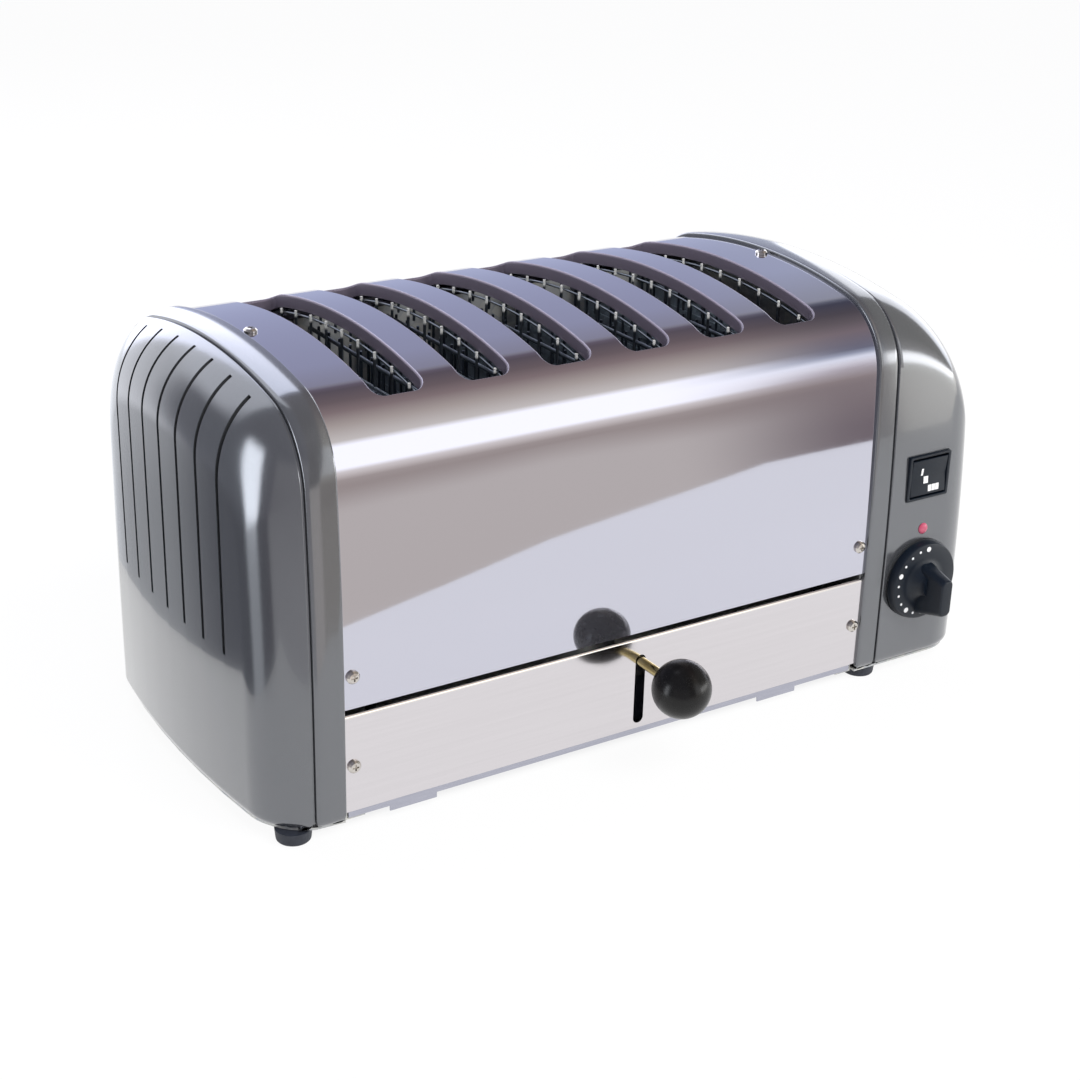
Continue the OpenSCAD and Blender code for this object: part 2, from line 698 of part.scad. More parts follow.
// Rack under the bread, with an arm at each end through the cage plates
module bread_rack(x) {
    span = cage_y - 3;
    color(steel) difference() {
        translate([x, 0, rack_z]) {
            translate([-rack_w / 2, -span, -rack_t]) cube([rack_w, 2 * span, rack_t]);
            translate([-arm_w / 2, -lift_y, -arm_h]) cube([arm_w, lift_y + rod_end, arm_h]);
        }
        for (y = [-span + rack_window:2 * rack_window:span - rack_window], s = [-1, 1])
            translate([x + s * (rack_w + arm_w) / 4, y, rack_z])
                cube([(rack_w - arm_w) / 4, rack_window, 4 * rack_t], center = true);
    }
}
rack_window = 14;

// Flat bar that carries all racks: bushes at its ends run on the posts, a tongue reaches down to the lever
module lift_bar() {
    bar_z = rack_z - arm_h / 2 - lift_h / 2;
    tongue_w = 16;
    color(zinc) difference() {
        union() {
            translate([wrap_mid - post_x, -lift_y - rack_t, bar_z]) cube([2 * post_x, rack_t, lift_h]);
            translate([lever_at - tongue_w / 2, -lift_y - rack_t, lever_z - lever_d])
                cube([tongue_w, rack_t, bar_z + lift_h - lever_z + lever_d]);
            for (s = [-1, 1])
                translate([wrap_mid + s * post_x, -post_y, bar_z + lift_h / 2])
                    cylinder(h = bush_l, d = bush_d, center = true);
        }
        for (s = [-1, 1])
            translate([wrap_mid + s * post_x, -post_y, 0])
                cylinder(h = wrap_top, d = post_d + 2 * bush_clear);
    }
}

module guide_post(side) {
    color(steel) translate([wrap_mid + side * post_x, -post_y, post_foot])
        cylinder(h = post_top - post_foot, d = post_d);
}

// Rod riveted to the tongue, out through the slot of the front panel
module lever_rod() {
    color("darkkhaki") translate([lever_at, 0, lever_z]) {
        along_y(ball_y + ball_d / 4, -lift_y - rack_t, lever_d);
        along_y(-lift_y - rack_t - lever_collar, -lift_y - rack_t, lever_d + 4);
    }
}
lever_collar = 3;

module lever_knob() {
    neck_d = ball_d * 0.4;
    color(black) translate([lever_at, ball_y, lever_z]) difference() {
        union() {
            sphere(d = ball_d);
            along_y(0, ball_d / 2, neck_d);
        }
        along_y(ball_d / 4, ball_d, lever_d);
    }
}

timer_bush_d = 10;
case_gap = 2.5;

module timer_body() {
    wall_y = -casting_y + casting_wall + case_gap;
    color("dimgray") difference() {
        translate([control_at, 0, timer_z]) {
            translate([-timer_w / 2, wall_y, -timer_w / 2]) cube([timer_w, timer_deep, timer_w]);
            along_y(-casting_y, wall_y, timer_bush_d);
        }
        translate([control_at, 0, timer_z])
            along_y(-casting_y - 1, wall_y + timer_deep / 2, shaft_d + 2 * bush_clear);
    }
}

module timer_shaft() {
    color(steel) translate([control_at, 0, timer_z])
        along_y(knob_face - shaft_reach, -casting_y + casting_wall + timer_deep / 3, shaft_d);
}
knob_gap = 0.8;
knob_face = -casting_y - knob_gap;
shaft_reach = knob_skirt + knob_grip / 3;
grip_shift = -4;
grip_end_draw = 5;
grip_side_draw = 1.35;
grip_root = 1;

// Prism along X whose width w across Y narrows by draw on each side towards the knob's front
module grip_taper(l, w, draw) {
    translate([-l / 2, 0, 0]) rotate([90, 0, 90]) linear_extrude(l) polygon([
        [-w / 2, -grip_root], [w / 2, -grip_root], [w / 2, 0], [w / 2 - draw, knob_grip],
        [draw - w / 2, knob_grip], [-w / 2, 0]
    ]);
}

// Skirted knob: the hub sweeps up to a tall bar that reaches furthest on the side that points down
module timer_knob() {
    skirt_r = knob_d / 2;
    hub_r = skirt_r * 0.62;
    color(black) translate([control_at, knob_face, timer_z]) rotate([90, 0, 0]) difference() {
        union() {
            rotate_extrude() polygon([
                [0, 0], [skirt_r - 0.6, 0], [skirt_r, 0.6], [skirt_r - 0.7, knob_skirt - 1],
                [skirt_r - 1.8, knob_skirt], [hub_r, knob_skirt], [hub_r * 0.8, knob_skirt + knob_grip * 0.05],
                [hub_r * 0.62, knob_skirt + knob_grip * 0.16], [hub_r * 0.5, knob_skirt + knob_grip * 0.4],
                [0, knob_skirt + knob_grip * 0.4]
            ]);
            translate([0, grip_shift, knob_skirt]) intersection() {
                translate([0, 0, -grip_root]) linear_extrude(knob_grip + grip_root)
                    rounded_rect(grip_w, grip_l, grip_w * 0.36);
                grip_taper(grip_w + 2, grip_l, grip_end_draw);
                rotate([0, 0, 90]) grip_taper(grip_l + 2, grip_w, grip_side_draw);
            }
        }
        translate([0, 0, -1]) cylinder(h = shaft_reach + 1, d = shaft_d);
    }
}

switch_w = selector_w - 2;
switch_h = selector_h - 2;
switch_deep = 24;
window_w = switch_w - 2;
window_h = switch_h - 1;

// Snap-in switch: the frame in front of the casting, its body behind
module selector_frame() {
    front = 3;
    color(black) translate([control_at, -selector_seat, selector_z]) difference() {
        union() {
            translate([-selector_w / 2, -front, -selector_h / 2]) cube([selector_w, front, selector_h]);
            translate([-switch_w / 2, -fit_gap, -switch_h / 2]) cube([switch_w, switch_deep, switch_h]);
        }
        translate([-window_w / 2, -2 * front, -window_h / 2])
            cube([window_w, rocker_deep + 2 * front + 2, window_h]);
        translate([-pin_half - seat_gap, rocker_pivot, 0]) rotate([0, 90, 0])
            cylinder(h = 2 * (pin_half + seat_gap), d = pin_d + 2 * bush_clear);
    }
}
rocker_deep = 8;
rocker_front = 2.2;
rocker_pivot = 2;
pin_d = 3;
pin_half = window_w / 2 + 0.5;

// Rocker with two slightly sloping faces, turning about an axis along X
module selector_rocker() {
    w = window_w - 2 * seat_gap;
    h = window_h / 2 - 1.2;
    face = rocker_front + h * tan(rocker_tilt / 2);
    color(black) translate([control_at, -selector_seat, selector_z]) {
        translate([-w / 2, 0, 0]) rotate([90, 0, 90]) linear_extrude(w)
            polygon([
                [-rocker_front, 0], [-face, h], [rocker_deep / 2, h - 1.5],
                [rocker_deep - 2, 0], [rocker_deep / 2, 1.5 - h], [-face, -h]
            ]);
        translate([-pin_half, rocker_pivot, 0]) rotate([0, 90, 0]) cylinder(h = 2 * pin_half, d = pin_d);
    }
}

lamp_deep = 18;

module indicator_lamp() {
    dome_r = lamp_d * 0.7;
    color("crimson") translate([control_at, 0, lamp_z]) {
        along_y(-casting_y, -casting_y + casting_wall + case_gap, lamp_d);
        along_y(-casting_y + casting_wall + case_gap, -casting_y + casting_wall + lamp_deep, lamp_d + 3);
        intersection() {
            translate([0, -casting_y + dome_r * cos(asin(0.5 / 0.7)), 0]) sphere(dome_r);
            along_y(-casting_y - lamp_d, -casting_y, lamp_d);
        }
    }
}

module terminal_block() {
    color("whitesmoke") translate([control_at, half_depth - terminal_inset, casting_foot]) difference() {
        translate([-terminal_l / 2, -terminal_w / 2, 0]) cube([terminal_l, terminal_w, terminal_h]);
        for (i = [-1, 0, 1])
            translate([i * terminal_pitch, 0, terminal_h / 3]) cylinder(h = terminal_h, d = terminal_bore);
    }
}

gland_thread_d = 15;
gland_nut_d = 22;

// Cord inlet at the back of the control end: flange outside, nut inside
module cable_gland() {
    inside = casting_y - casting_wall;
    color(black) translate([control_at, 0, gland_z]) difference() {
        union() {
            along_y(casting_y + seat_gap, casting_y + gland_reach, gland_nut_d * 0.8);
            along_y(casting_y + seat_gap, casting_y + gland_reach * 0.45, gland_nut_d, $fn = 6);
            along_y(inside - 8, casting_y + 1, gland_thread_d);
            along_y(inside - 6, inside - 2 * seat_gap, gland_nut_d, $fn = 6);
        }
        along_y(casting_y - 30, casting_y + 30, gland_bore);
    }
}

// Places of the screws, each with its axis out of the sheet along +Z
module screw_places() {
    for (x = [left_rim + screw_inset, right_rim - screw_inset]) {
        translate([x, -screw_front, screw_top_z]) rotate([screw_top_turn, 0, 0]) children();
        for (s = [-1, 1]) {
            translate([x, s * half_depth, screw_low]) rotate([-s * 90, 0, 0]) children();
            translate([x, s * screw_face_y, screw_high]) rotate([-s * 90, 0, 0]) children();
        }
    }
}
screw_top_turn = asin(screw_front / crown_r);
screw_top_z = crown_c.y + crown_r * cos(screw_top_turn);
screw_face_y = half_depth - face_r + sqrt(face_r * face_r - pow(screw_high - wrap_foot, 2));

module screw_hole() {
    cylinder(h = 12, d = screw_d + 2 * fit_gap, center = true);
}

screw_l = plate_in + plate_t + 3;

// Pan head with a cross recess, seated on the sheet
module screw() {
    difference() {
        union() {
            translate([0, 0, fit_gap]) rotate_extrude() polygon([
                [0, 0], [screw_head_d / 2, 0], [screw_head_d / 2, screw_head_h * 0.45],
                [screw_head_d * 0.36, screw_head_h * 0.9], [screw_head_d * 0.2, screw_head_h],
                [0, screw_head_h]
            ]);
            translate([0, 0, -screw_l]) cylinder(h = screw_l + screw_head_h / 2, d = screw_d);
        }
        for (a = [0, 90])
            rotate([0, 0, a]) translate([0, 0, screw_head_h])
                cube([screw_head_d * 0.5, 0.9, screw_head_h], center = true);
    }
}

module top_screws() {
    color(steel) for (x = [left_rim + screw_inset, right_rim - screw_inset])
        translate([x, -screw_front, screw_top_z]) rotate([screw_top_turn, 0, 0]) screw();
}

module face_screws(s) {
    color(steel) for (x = [left_rim + screw_inset, right_rim - screw_inset]) {
        translate([x, s * half_depth, screw_low]) rotate([-s * 90, 0, 0]) screw();
        translate([x, s * screw_face_y, screw_high]) rotate([-s * 90, 0, 0]) screw();
    }
}

// All modules are drawn about the middle of the body; this sets the whole object over the origin
module in_place() {
    translate([0, body_y, 0]) children();
}

in_place() end_casting_left();
in_place() end_casting_right();
in_place() body_wrap();
in_place() front_lower_panel();
in_place() rear_lower_panel();
in_place() end_plate(-1);  // end_plate_left
in_place() end_plate(1);  // end_plate_right
in_place() cage_plate(-1);  // cage_plate_front
in_place() cage_plate(1);  // cage_plate_rear
in_place() base_cover(-1);  // base_cover_left
in_place() base_cover(1);  // base_cover_right
in_place() tray_runner(-1);  // tray_runner_left
in_place() tray_runner(1);  // tray_runner_right
in_place() crumb_tray();
in_place() foot(left_rim - left_foot_x, -foot_y);  // foot_front_left
in_place() foot(right_rim + right_foot_x, -foot_y);  // foot_front_right
in_place() foot(left_rim - left_foot_x, foot_y);  // foot_rear_left
in_place() foot(right_rim + right_foot_x, foot_y);  // foot_rear_right
for (i = [1:SLOTS + 1])
    in_place() heating_element(element_list[i - 1]);
for (i = [1:SLOTS]) {
    in_place() guard(slot_list[i - 1], -1);
    in_place() guard(slot_list[i - 1], 1);
    in_place() bread_rack(slot_list[i - 1]);
}
in_place() lift_bar();
in_place() guide_post(-1);  // guide_post_left
in_place() guide_post(1);  // guide_post_right
in_place() lever_rod();
in_place() lever_knob();
in_place() timer_body();
in_place() timer_shaft();
in_place() timer_knob();
in_place() selector_frame();
in_place() selector_rocker();
in_place() indicator_lamp();
in_place() terminal_block();
in_place() cable_gland();
in_place() top_screws();
in_place() face_screws(-1);  // front_screws
in_place() face_screws(1);  // rear_screws
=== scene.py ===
from math import asin, atan2, cos, pi, radians, sin, sqrt, tan

import bmesh
import bpy
from mathutils import Matrix, Vector


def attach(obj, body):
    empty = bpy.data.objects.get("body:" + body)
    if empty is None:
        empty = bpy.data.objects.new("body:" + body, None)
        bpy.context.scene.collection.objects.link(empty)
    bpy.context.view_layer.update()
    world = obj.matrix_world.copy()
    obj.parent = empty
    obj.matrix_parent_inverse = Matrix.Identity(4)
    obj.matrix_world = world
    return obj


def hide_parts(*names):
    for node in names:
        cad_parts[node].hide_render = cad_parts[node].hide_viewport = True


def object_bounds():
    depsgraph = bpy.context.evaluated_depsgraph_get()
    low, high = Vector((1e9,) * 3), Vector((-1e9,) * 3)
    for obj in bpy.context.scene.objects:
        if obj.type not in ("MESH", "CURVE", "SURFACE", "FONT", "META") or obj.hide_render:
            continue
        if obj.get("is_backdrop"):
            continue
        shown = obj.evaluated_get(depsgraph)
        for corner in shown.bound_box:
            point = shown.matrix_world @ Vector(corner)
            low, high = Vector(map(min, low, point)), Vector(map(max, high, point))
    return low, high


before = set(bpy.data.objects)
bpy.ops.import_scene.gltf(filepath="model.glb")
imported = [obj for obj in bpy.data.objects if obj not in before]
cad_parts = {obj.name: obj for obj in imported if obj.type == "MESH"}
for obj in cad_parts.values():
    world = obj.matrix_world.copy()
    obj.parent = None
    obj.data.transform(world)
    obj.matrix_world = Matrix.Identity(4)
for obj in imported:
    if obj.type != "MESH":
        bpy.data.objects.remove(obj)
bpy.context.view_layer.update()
scene = bpy.context.scene
scene.view_settings.view_transform = "Standard"

# The camera stands where the photograph's did: in front, to the left and above the toaster.
# Its place, turn and lens come from the rims, slots and panel edges seen in the 1080 px frame.
MM = 0.001
frame_px, focal_px, film_w = 1080, 1957.9, 36
camera_at = Vector((-562.8, -842.4, 523.6)) * MM
yaw, pitch, roll = radians(33.02), radians(23.31), radians(-1.50)
forward = Vector((sin(yaw) * cos(pitch), cos(yaw) * cos(pitch), -sin(pitch)))
right = Vector((cos(yaw), -sin(yaw), 0))
down = forward.cross(right)
camera_right = cos(roll) * right + sin(roll) * down
camera_down = cos(roll) * down - sin(roll) * right
lens = bpy.data.cameras.new("photo_camera")
lens.sensor_width = film_w
lens.lens = film_w * focal_px / frame_px
camera = bpy.data.objects.new("photo_camera", lens)
camera.matrix_world = Matrix.Translation(camera_at) @ Matrix(
    (camera_right, -camera_down, -forward)).transposed().to_4x4()
scene.collection.objects.link(camera)
scene.camera = camera

# A pale table in a studio: its top is white paper that ends a little in front of the toaster.
# The polished sheet mirrors that paper, and the room beyond its edge.
body_y = 18.875  # the toaster's middle stands this far behind the frame's origin
paper_glow, table_far = 0.93, 3


def linear(hex_colour):
    parts = [int(hex_colour[i:i + 2], 16) / 255 for i in (1, 3, 5)]
    return tuple(c / 12.92 if c <= 0.04045 else ((c + 0.055) / 1.055) ** 2.4 for c in parts) + (1,)


def add(tree, kind, inputs=(), outputs=(), **settings):
    made = tree.nodes.new("ShaderNode" + kind)
    for name, value in settings.items():
        setattr(made, name, value)
    for socket, value in inputs:
        if isinstance(value, bpy.types.NodeSocket):
            tree.links.new(value, made.inputs[socket])
        else:
            made.inputs[socket].default_value = value
    for socket, target in outputs:
        tree.links.new(made.outputs[socket], target)
    return made


# Matt white paper, which the camera and the mirrors see as plain white
paper = bpy.data.materials.new("white_table_paper")
paper.use_nodes = True
tree = paper.node_tree
tree.nodes.clear()
path = add(tree, "LightPath")
seen = add(tree, "Math", [(0, path.outputs["Is Camera Ray"]), (1, path.outputs["Is Glossy Ray"])],
           operation="MAXIMUM")
seen = add(tree, "Math", [(0, seen.outputs[0]), (1, path.outputs["Is Transmission Ray"])],
           operation="MAXIMUM")
# Under the toaster the paper keeps its full shade
place = add(tree, "TexCoord")
spot = add(tree, "SeparateXYZ", [(0, place.outputs["Object"])])
away = []
for axis, centre, shaded, lit in (("X", 0, 150, 200), ("Y", body_y, 60, 100)):
    off = add(tree, "Math", [(0, spot.outputs[axis]), (1, centre * MM)], operation="SUBTRACT")
    off = add(tree, "Math", [(0, off.outputs[0])], operation="ABSOLUTE")
    away.append(add(tree, "MapRange", [(0, off.outputs[0]), (1, shaded * MM), (2, lit * MM)]))
clear = add(tree, "Math", [(0, away[0].outputs[0]), (1, away[1].outputs[0])], operation="MAXIMUM")
share = add(tree, "Math", [(0, seen.outputs[0]), (1, paper_glow)], operation="MULTIPLY")
share = add(tree, "Math", [(0, share.outputs[0]), (1, clear.outputs[0])], operation="MULTIPLY")
matt = add(tree, "BsdfDiffuse", [("Color", linear("#ececec"))])
white = add(tree, "Emission", [("Color", (1, 1, 1, 1)), ("Strength", 1.0)])
shown = add(tree, "MixShader", [(0, share.outputs[0]), (1, matt.outputs[0]), (2, white.outputs[0])])
add(tree, "OutputMaterial", [("Surface", shown.outputs[0])])

table_edge = ((0.8, table_far), (table_far, table_far), (table_far, -0.478), (0.385, -0.478), (0.135, -0.405),
              (-0.1, -0.313), (-0.309, -0.243), (-0.435, -0.2))
floor_edge = ((-table_far, -table_far), (table_far, -table_far), (table_far, table_far),
              (-table_far, table_far))
for name, edge, lowered in (("table_top", table_edge, 0.2 * MM), ("studio_floor", floor_edge, 0.6 * MM)):
    bm = bmesh.new()
    for x, y in edge:
        bm.verts.new((x, y, -lowered))
    bmesh.ops.contextual_create(bm, geom=bm.verts[:])
    bmesh.ops.recalc_face_normals(bm, faces=bm.faces[:])
    mesh = bpy.data.meshes.new(name)
    bm.to_mesh(mesh)
    bm.free()
    mesh.materials.append(paper)
    ground = bpy.data.objects.new(name, mesh)
    scene.collection.objects.link(ground)
    ground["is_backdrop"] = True
# The floor carries the same white on past the paper; the steel mirrors the paper alone
ground.visible_diffuse = ground.visible_glossy = False

# Round the table is a plain studio room: a wide lamp low in front, a dark ceiling, a pale wall behind.
# Its tones go by the angle round the toaster's long axis, in zones from the far right, where a small lamp is,
# past the dimmer control end to the left side, where a strip lamp stands between two dark screens.
room_light = 1.6
world = bpy.data.worlds.new("studio_room")
scene.world = world
world.use_nodes = True
tree = world.node_tree
tree.nodes.clear()
place = add(tree, "TexCoord")
axes = add(tree, "SeparateXYZ", [(0, place.outputs["Generated"])])
ahead = add(tree, "Math", [(0, axes.outputs["Y"]), (1, -1.0)], operation="MULTIPLY")
leftward = add(tree, "Math", [(0, axes.outputs["X"]), (1, -1.0)], operation="MULTIPLY")
over = add(tree, "Math", [(0, axes.outputs["Z"]), (1, ahead.outputs[0])], operation="ARCTAN2")
over = add(tree, "Math", [(0, over.outputs[0]), (1, 1.5 * pi), (2, -0.5 * pi)], operation="WRAP")
aside = add(tree, "Math", [(0, axes.outputs["Y"]), (1, leftward.outputs[0])], operation="ARCTAN2")


# Tones of one zone, at stops in degrees from the first angle on
def room_tones(angle, first, stops, bright=1):
    share = add(tree, "MapRange",
                [(0, angle.outputs[0]), (1, radians(first)), (2, radians(first + 360))])
    tones = add(tree, "ValToRGB", [(0, share.outputs[0])])
    ramp = tones.color_ramp.elements
    while len(ramp) < len(stops):
        ramp.new(0.5)
    for stop, (degrees, colour) in zip(ramp, stops):
        stop.position = (degrees - first) / 360
        stop.color = [c * bright for c in linear(colour)]
    return tones


# One zone passing into the next between two heights or places along the room
def blend_between(axis, low, high, before, after):
    share = add(tree, "MapRange", [(0, axes.outputs[axis]), (1, low), (2, high)],
                interpolation_type="SMOOTHSTEP")
    return add(tree, "Mix", [(0, share.outputs[0]), (6, before), (7, after)], data_type="RGBA")


before_wrap = room_tones(over, -90, [
    (-90, "#9d9790"), (-18, "#b4ada5"), (-17.2, "#948982"), (-11, "#b5aca4"), (-4, "#d1cac3"), (1, "#ffffff"),
    (31, "#ffffff"), (38, "#c4beb4"), (60, "#a59b91"), (80, "#80716e"), (97, "#675b5b"), (118, "#574f54"),
    (125, "#5f5760"), (131, "#7c7982"), (142, "#8a8ca0"), (180, "#9499b2")])
control_end = room_tones(over, -90, [
    (-90, "#6c6264"), (-20, "#6c6264"), (-15, "#8b7f7b"), (2, "#aaa2a2"), (11, "#cfcccd"), (18, "#d8dadf"),
    (25, "#9196a2"), (31, "#696975"), (60, "#74686a"), (76, "#605859"), (95, "#4b464a"), (118, "#40404b"),
    (125, "#595b65"), (132, "#87888f"), (150, "#979cae"), (180, "#9398a9")])
far_right = room_tones(over, -90, [
    (-90, "#848280"), (-30, "#a09d98"), (-4, "#a7a6a1"), (2, "#ffffff"), (12, "#ffffff"), (20, "#656361"),
    (45, "#4c4b48"), (112, "#42413f"), (119, "#4a4a4b"), (123, "#9e9fa3"), (180, "#a6a8ae"),
    (190, "#7f7d7b")], bright=3.6)
near_left = room_tones(over, -90, [
    (-90, "#868280"), (-14, "#8b8683"), (-6, "#4c4a4a"), (60, "#3f3d3e"), (113, "#464348"), (119, "#656571"),
    (122, "#d0d4e5"), (180, "#d2d5e4"), (188, "#888a8e")], bright=2.7)
left_high = room_tones(aside, -180, [
    (-180, "#5a5a61"), (22, "#5a5a61"), (40, "#62646b"), (50, "#c4c6cd"), (180, "#cccfd8")], bright=1.7)
left_side = room_tones(aside, -180, [
    (-180, "#555457"), (-21, "#555457"), (-17, "#404045"), (-3, "#404045"), (2, "#f4f8ff"), (18, "#f4f8ff"),
    (24, "#414348"), (56, "#46474c"), (66, "#848589"), (180, "#888a8e")], bright=3.3)
left_low = room_tones(aside, -180, [
    (-180, "#b2b1b4"), (-21, "#b2b1b4"), (-17, "#56565d"), (-3, "#56565d"), (3, "#c4c8cd"), (17, "#c4c8cd"),
    (24, "#56585f"), (56, "#5c5e65"), (66, "#989a9e"), (180, "#a4a6ab")])
left_side = blend_between("Z", -0.38, -0.24, left_low.outputs["Color"], left_side.outputs["Color"])
left_side = blend_between("Z", 0.28, 0.48, left_side.outputs[2], left_high.outputs["Color"])
room = blend_between("X", 0.56, 0.65, before_wrap.outputs["Color"], control_end.outputs["Color"])
room = blend_between("X", 0.652, 0.674, room.outputs[2], far_right.outputs["Color"])
room = blend_between("X", 0.30, 0.345, near_left.outputs["Color"], room.outputs[2])
room = blend_between("X", -0.16, -0.06, left_side.outputs[2], room.outputs[2])
path = add(tree, "LightPath")
around = add(tree, "Background", [("Color", room.outputs[2]), ("Strength", room_light)])
plain = add(tree, "Background", [("Color", (1, 1, 1, 1)), ("Strength", 1.0)])
shown = add(tree, "MixShader",
            [(0, path.outputs["Is Camera Ray"]), (1, around.outputs[0]), (2, plain.outputs[0])])
add(tree, "OutputWorld", [("Surface", shown.outputs[0])])

for name, at, aim, size, power in (
        ("lamp_front", (0.1, -0.9, 1.2), (0, 0, 0.15), (1.2, 0.6), 24),
        ("lamp_behind", (-0.1, 1.5, 1.25), (-0.1, 0, 0.22), (0.9, 0.5), 14)):
    light = bpy.data.lights.new(name, "AREA")
    light.shape = "RECTANGLE"
    light.size, light.size_y = size
    light.energy = power
    lamp = bpy.data.objects.new(name, light)
    lamp.location = at
    lamp.rotation_euler = (Vector(aim) - Vector(at)).to_track_quat("-Z", "Y").to_euler()
    lamp.visible_camera = lamp.visible_glossy = False
    scene.collection.objects.link(lamp)

# Four moulded rubber feet carry the toaster, pressed into the base covers under the castings.
# Each is a short stud, a little narrower at its rounded sole; rubber is matt, with a faint bloom of dust.
left_rim, right_rim = -184, 147
foot_top, foot_sole, foot_h = 9.5, 9, 6.8
foot_y, foot_past_left, foot_past_right = 98, 24, 12
sharp_edge = radians(35)


# A material with its nodes, its shader's sockets and the place on the piece that its patterns follow
def material(name, colour, metallic, roughness, **sockets):
    made = bpy.data.materials.new(name)
    made.use_nodes = True
    surface = made.node_tree.nodes["Principled BSDF"].inputs
    surface["Base Color"].default_value = linear(colour)
    surface["Metallic"].default_value = metallic
    surface["Roughness"].default_value = roughness
    for socket, value in sockets.items():
        surface[socket.replace("_", " ")].default_value = value
    place = add(made.node_tree, "TexCoord")
    return made, made.node_tree, surface, place.outputs["Object"]


# Colour that clouds between two tones, in patches of about a size in mm; gives the clouds for other uses
def mottled(tree, surface, place, size, detail, dull, bright):
    clouds = add(tree, "TexNoise",
                 [("Vector", place), ("Scale", 1 / (size * MM)), ("Detail", detail)])
    add(tree, "Mix", [(0, clouds.outputs["Fac"]), (6, linear(dull)), (7, linear(bright))],
        [(2, surface["Base Color"])], data_type="RGBA")
    return clouds.outputs["Fac"]


# A shape drawn in millimetres about the toaster's middle, as a mesh in the frame
def in_frame(bm, name, coating):
    bmesh.ops.scale(bm, vec=(MM, MM, MM), verts=bm.verts[:])
    bmesh.ops.translate(bm, vec=(0, body_y * MM, 0), verts=bm.verts[:])
    mesh = bpy.data.meshes.new(name)
    bm.to_mesh(mesh)
    bm.free()
    mesh.shade_smooth()
    mesh.materials.append(coating)
    return mesh


def finish(bm, name, body, coating, replaced=()):
    bmesh.ops.remove_doubles(bm, verts=bm.verts[:], dist=0.002)
    mesh = in_frame(bm, name, coating)
    mesh.set_sharp_from_angle(angle=sharp_edge)
    piece = bpy.data.objects.new(name, mesh)
    scene.collection.objects.link(piece)
    if replaced:
        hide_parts(*replaced)
    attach(piece, body)


# Spins a chain of points, given as (across, along) from a turned piece's axis, into its shape
def turned_profile(bm, points, at, axis):
    side = Vector((1, 0, 0)) if abs(axis.x) < 0.5 else Vector((0, 1, 0))
    chain = [bm.verts.new(at + side * r + axis * h) for r, h in points]
    edges = [bm.edges.new(pair) for pair in zip(chain, chain[1:])]
    bmesh.ops.spin(bm, geom=chain + edges, cent=at, axis=axis, angle=2 * pi, steps=64, use_merge=True)
    bmesh.ops.remove_doubles(bm, verts=bm.verts[:], dist=0.0005)
    bmesh.ops.recalc_face_normals(bm, faces=bm.faces[:])


# Moulded rubber: near black, scattering, lightened a little where dust clings
rubber, tree, surface, place = material("moulded_rubber_matt", "#23262e", 0, 0.62)
dust = mottled(tree, surface, place, 2.5, 4, "#1d2027", "#2f333d")
add(tree, "Bump", [("Height", dust), ("Strength", 0.2), ("Distance", 0.1 * MM)],
    [("Normal", surface["Normal"])])

for side, x in (("left", left_rim - foot_past_left), ("right", right_rim + foot_past_right)):
    for face, y in (("front", -foot_y), ("rear", foot_y)):
        bm = bmesh.new()
        turned_profile(bm, [(0, 0.4), (foot_sole - 3, 0.4), (foot_sole - 2.5, 0), (foot_sole - 1.3, 0),
                            (foot_sole - 0.6, 0.25), (foot_sole - 0.15, 0.8), (foot_sole, 1.6),
                            (foot_top, foot_h), (0, foot_h)],
                       Vector((x, y, 0)), Vector((0, 0, 1)))
        finish(bm, f"rubber_foot_{face}_{side}", "body", rubber, [f"foot_{face}_{side}"])

# The inner frame is folded from zinc-plated sheet: end plates, cage plates, base covers and tray runners.
# It is hidden apart from edges seen through the slots and from below, so the solids show as they are.


def dress(coating, *names):
    for name in names:
        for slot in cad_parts[name].material_slots:
            slot.material = coating


# Bright zinc plate: soft broken reflections with a faint blue and yellow spangle
zinc, tree, surface, place = material("zinc_plated_sheet", "#b6b8ba", 0.6, 0.4)
spangle = add(tree, "TexVoronoi", [("Vector", place), ("Scale", 1 / (6 * MM))])
add(tree, "Mix", [(0, spangle.outputs["Color"]), (6, linear("#a7abb0")), (7, linear("#c8c7c1"))],
    [(2, surface["Base Color"])], data_type="RGBA")
add(tree, "MapRange", [("Value", spangle.outputs["Distance"]), ("To Min", 0.34), ("To Max", 0.5)],
    [("Result", surface["Roughness"])])
dress(zinc, "end_plate_left", "end_plate_right", "cage_plate_front", "cage_plate_rear", "base_cover_left",
      "base_cover_right", "tray_runner_left", "tray_runner_right", "lift_bar")

# The crumb tray is a shallow pan of thin stainless sheet that slides on the runners below the frame.
# Two tabs show under the front panel; the sheet keeps its dull rolled finish, with crumb scratches.
rolled, tree, surface, place = material("stainless_sheet_rolled", "#b4b3b6", 1, 0.34)
along = add(tree, "Mapping", [("Vector", place), ("Scale", (0.04, 1, 1))])
lines = mottled(tree, surface, along.outputs[0], 0.6, 3, "#a4a5b2", "#bebfcb")
add(tree, "MapRange", [("Value", lines), ("To Min", 0.26), ("To Max", 0.44)],
    [("Result", surface["Roughness"])])
dress(rolled, "crumb_tray")

# Seven elements hang between the slots: mica boards wound with flat heating ribbon.
# Mica is layered, and heat has turned its brown to a bluish slate.
mica, tree, surface, place = material("mica_board_heated", "#76818c", 0, 0.45)
flakes = add(tree, "TexVoronoi", [("Vector", place), ("Scale", 1 / (4 * MM))])
add(tree, "Mix", [(0, flakes.outputs["Color"]), (6, linear("#6b7681")), (7, linear("#8793a0"))],
    [(2, surface["Base Color"])], data_type="RGBA")
dress(mica, *[f"heating_element_{i}" for i in range(1, 8)])

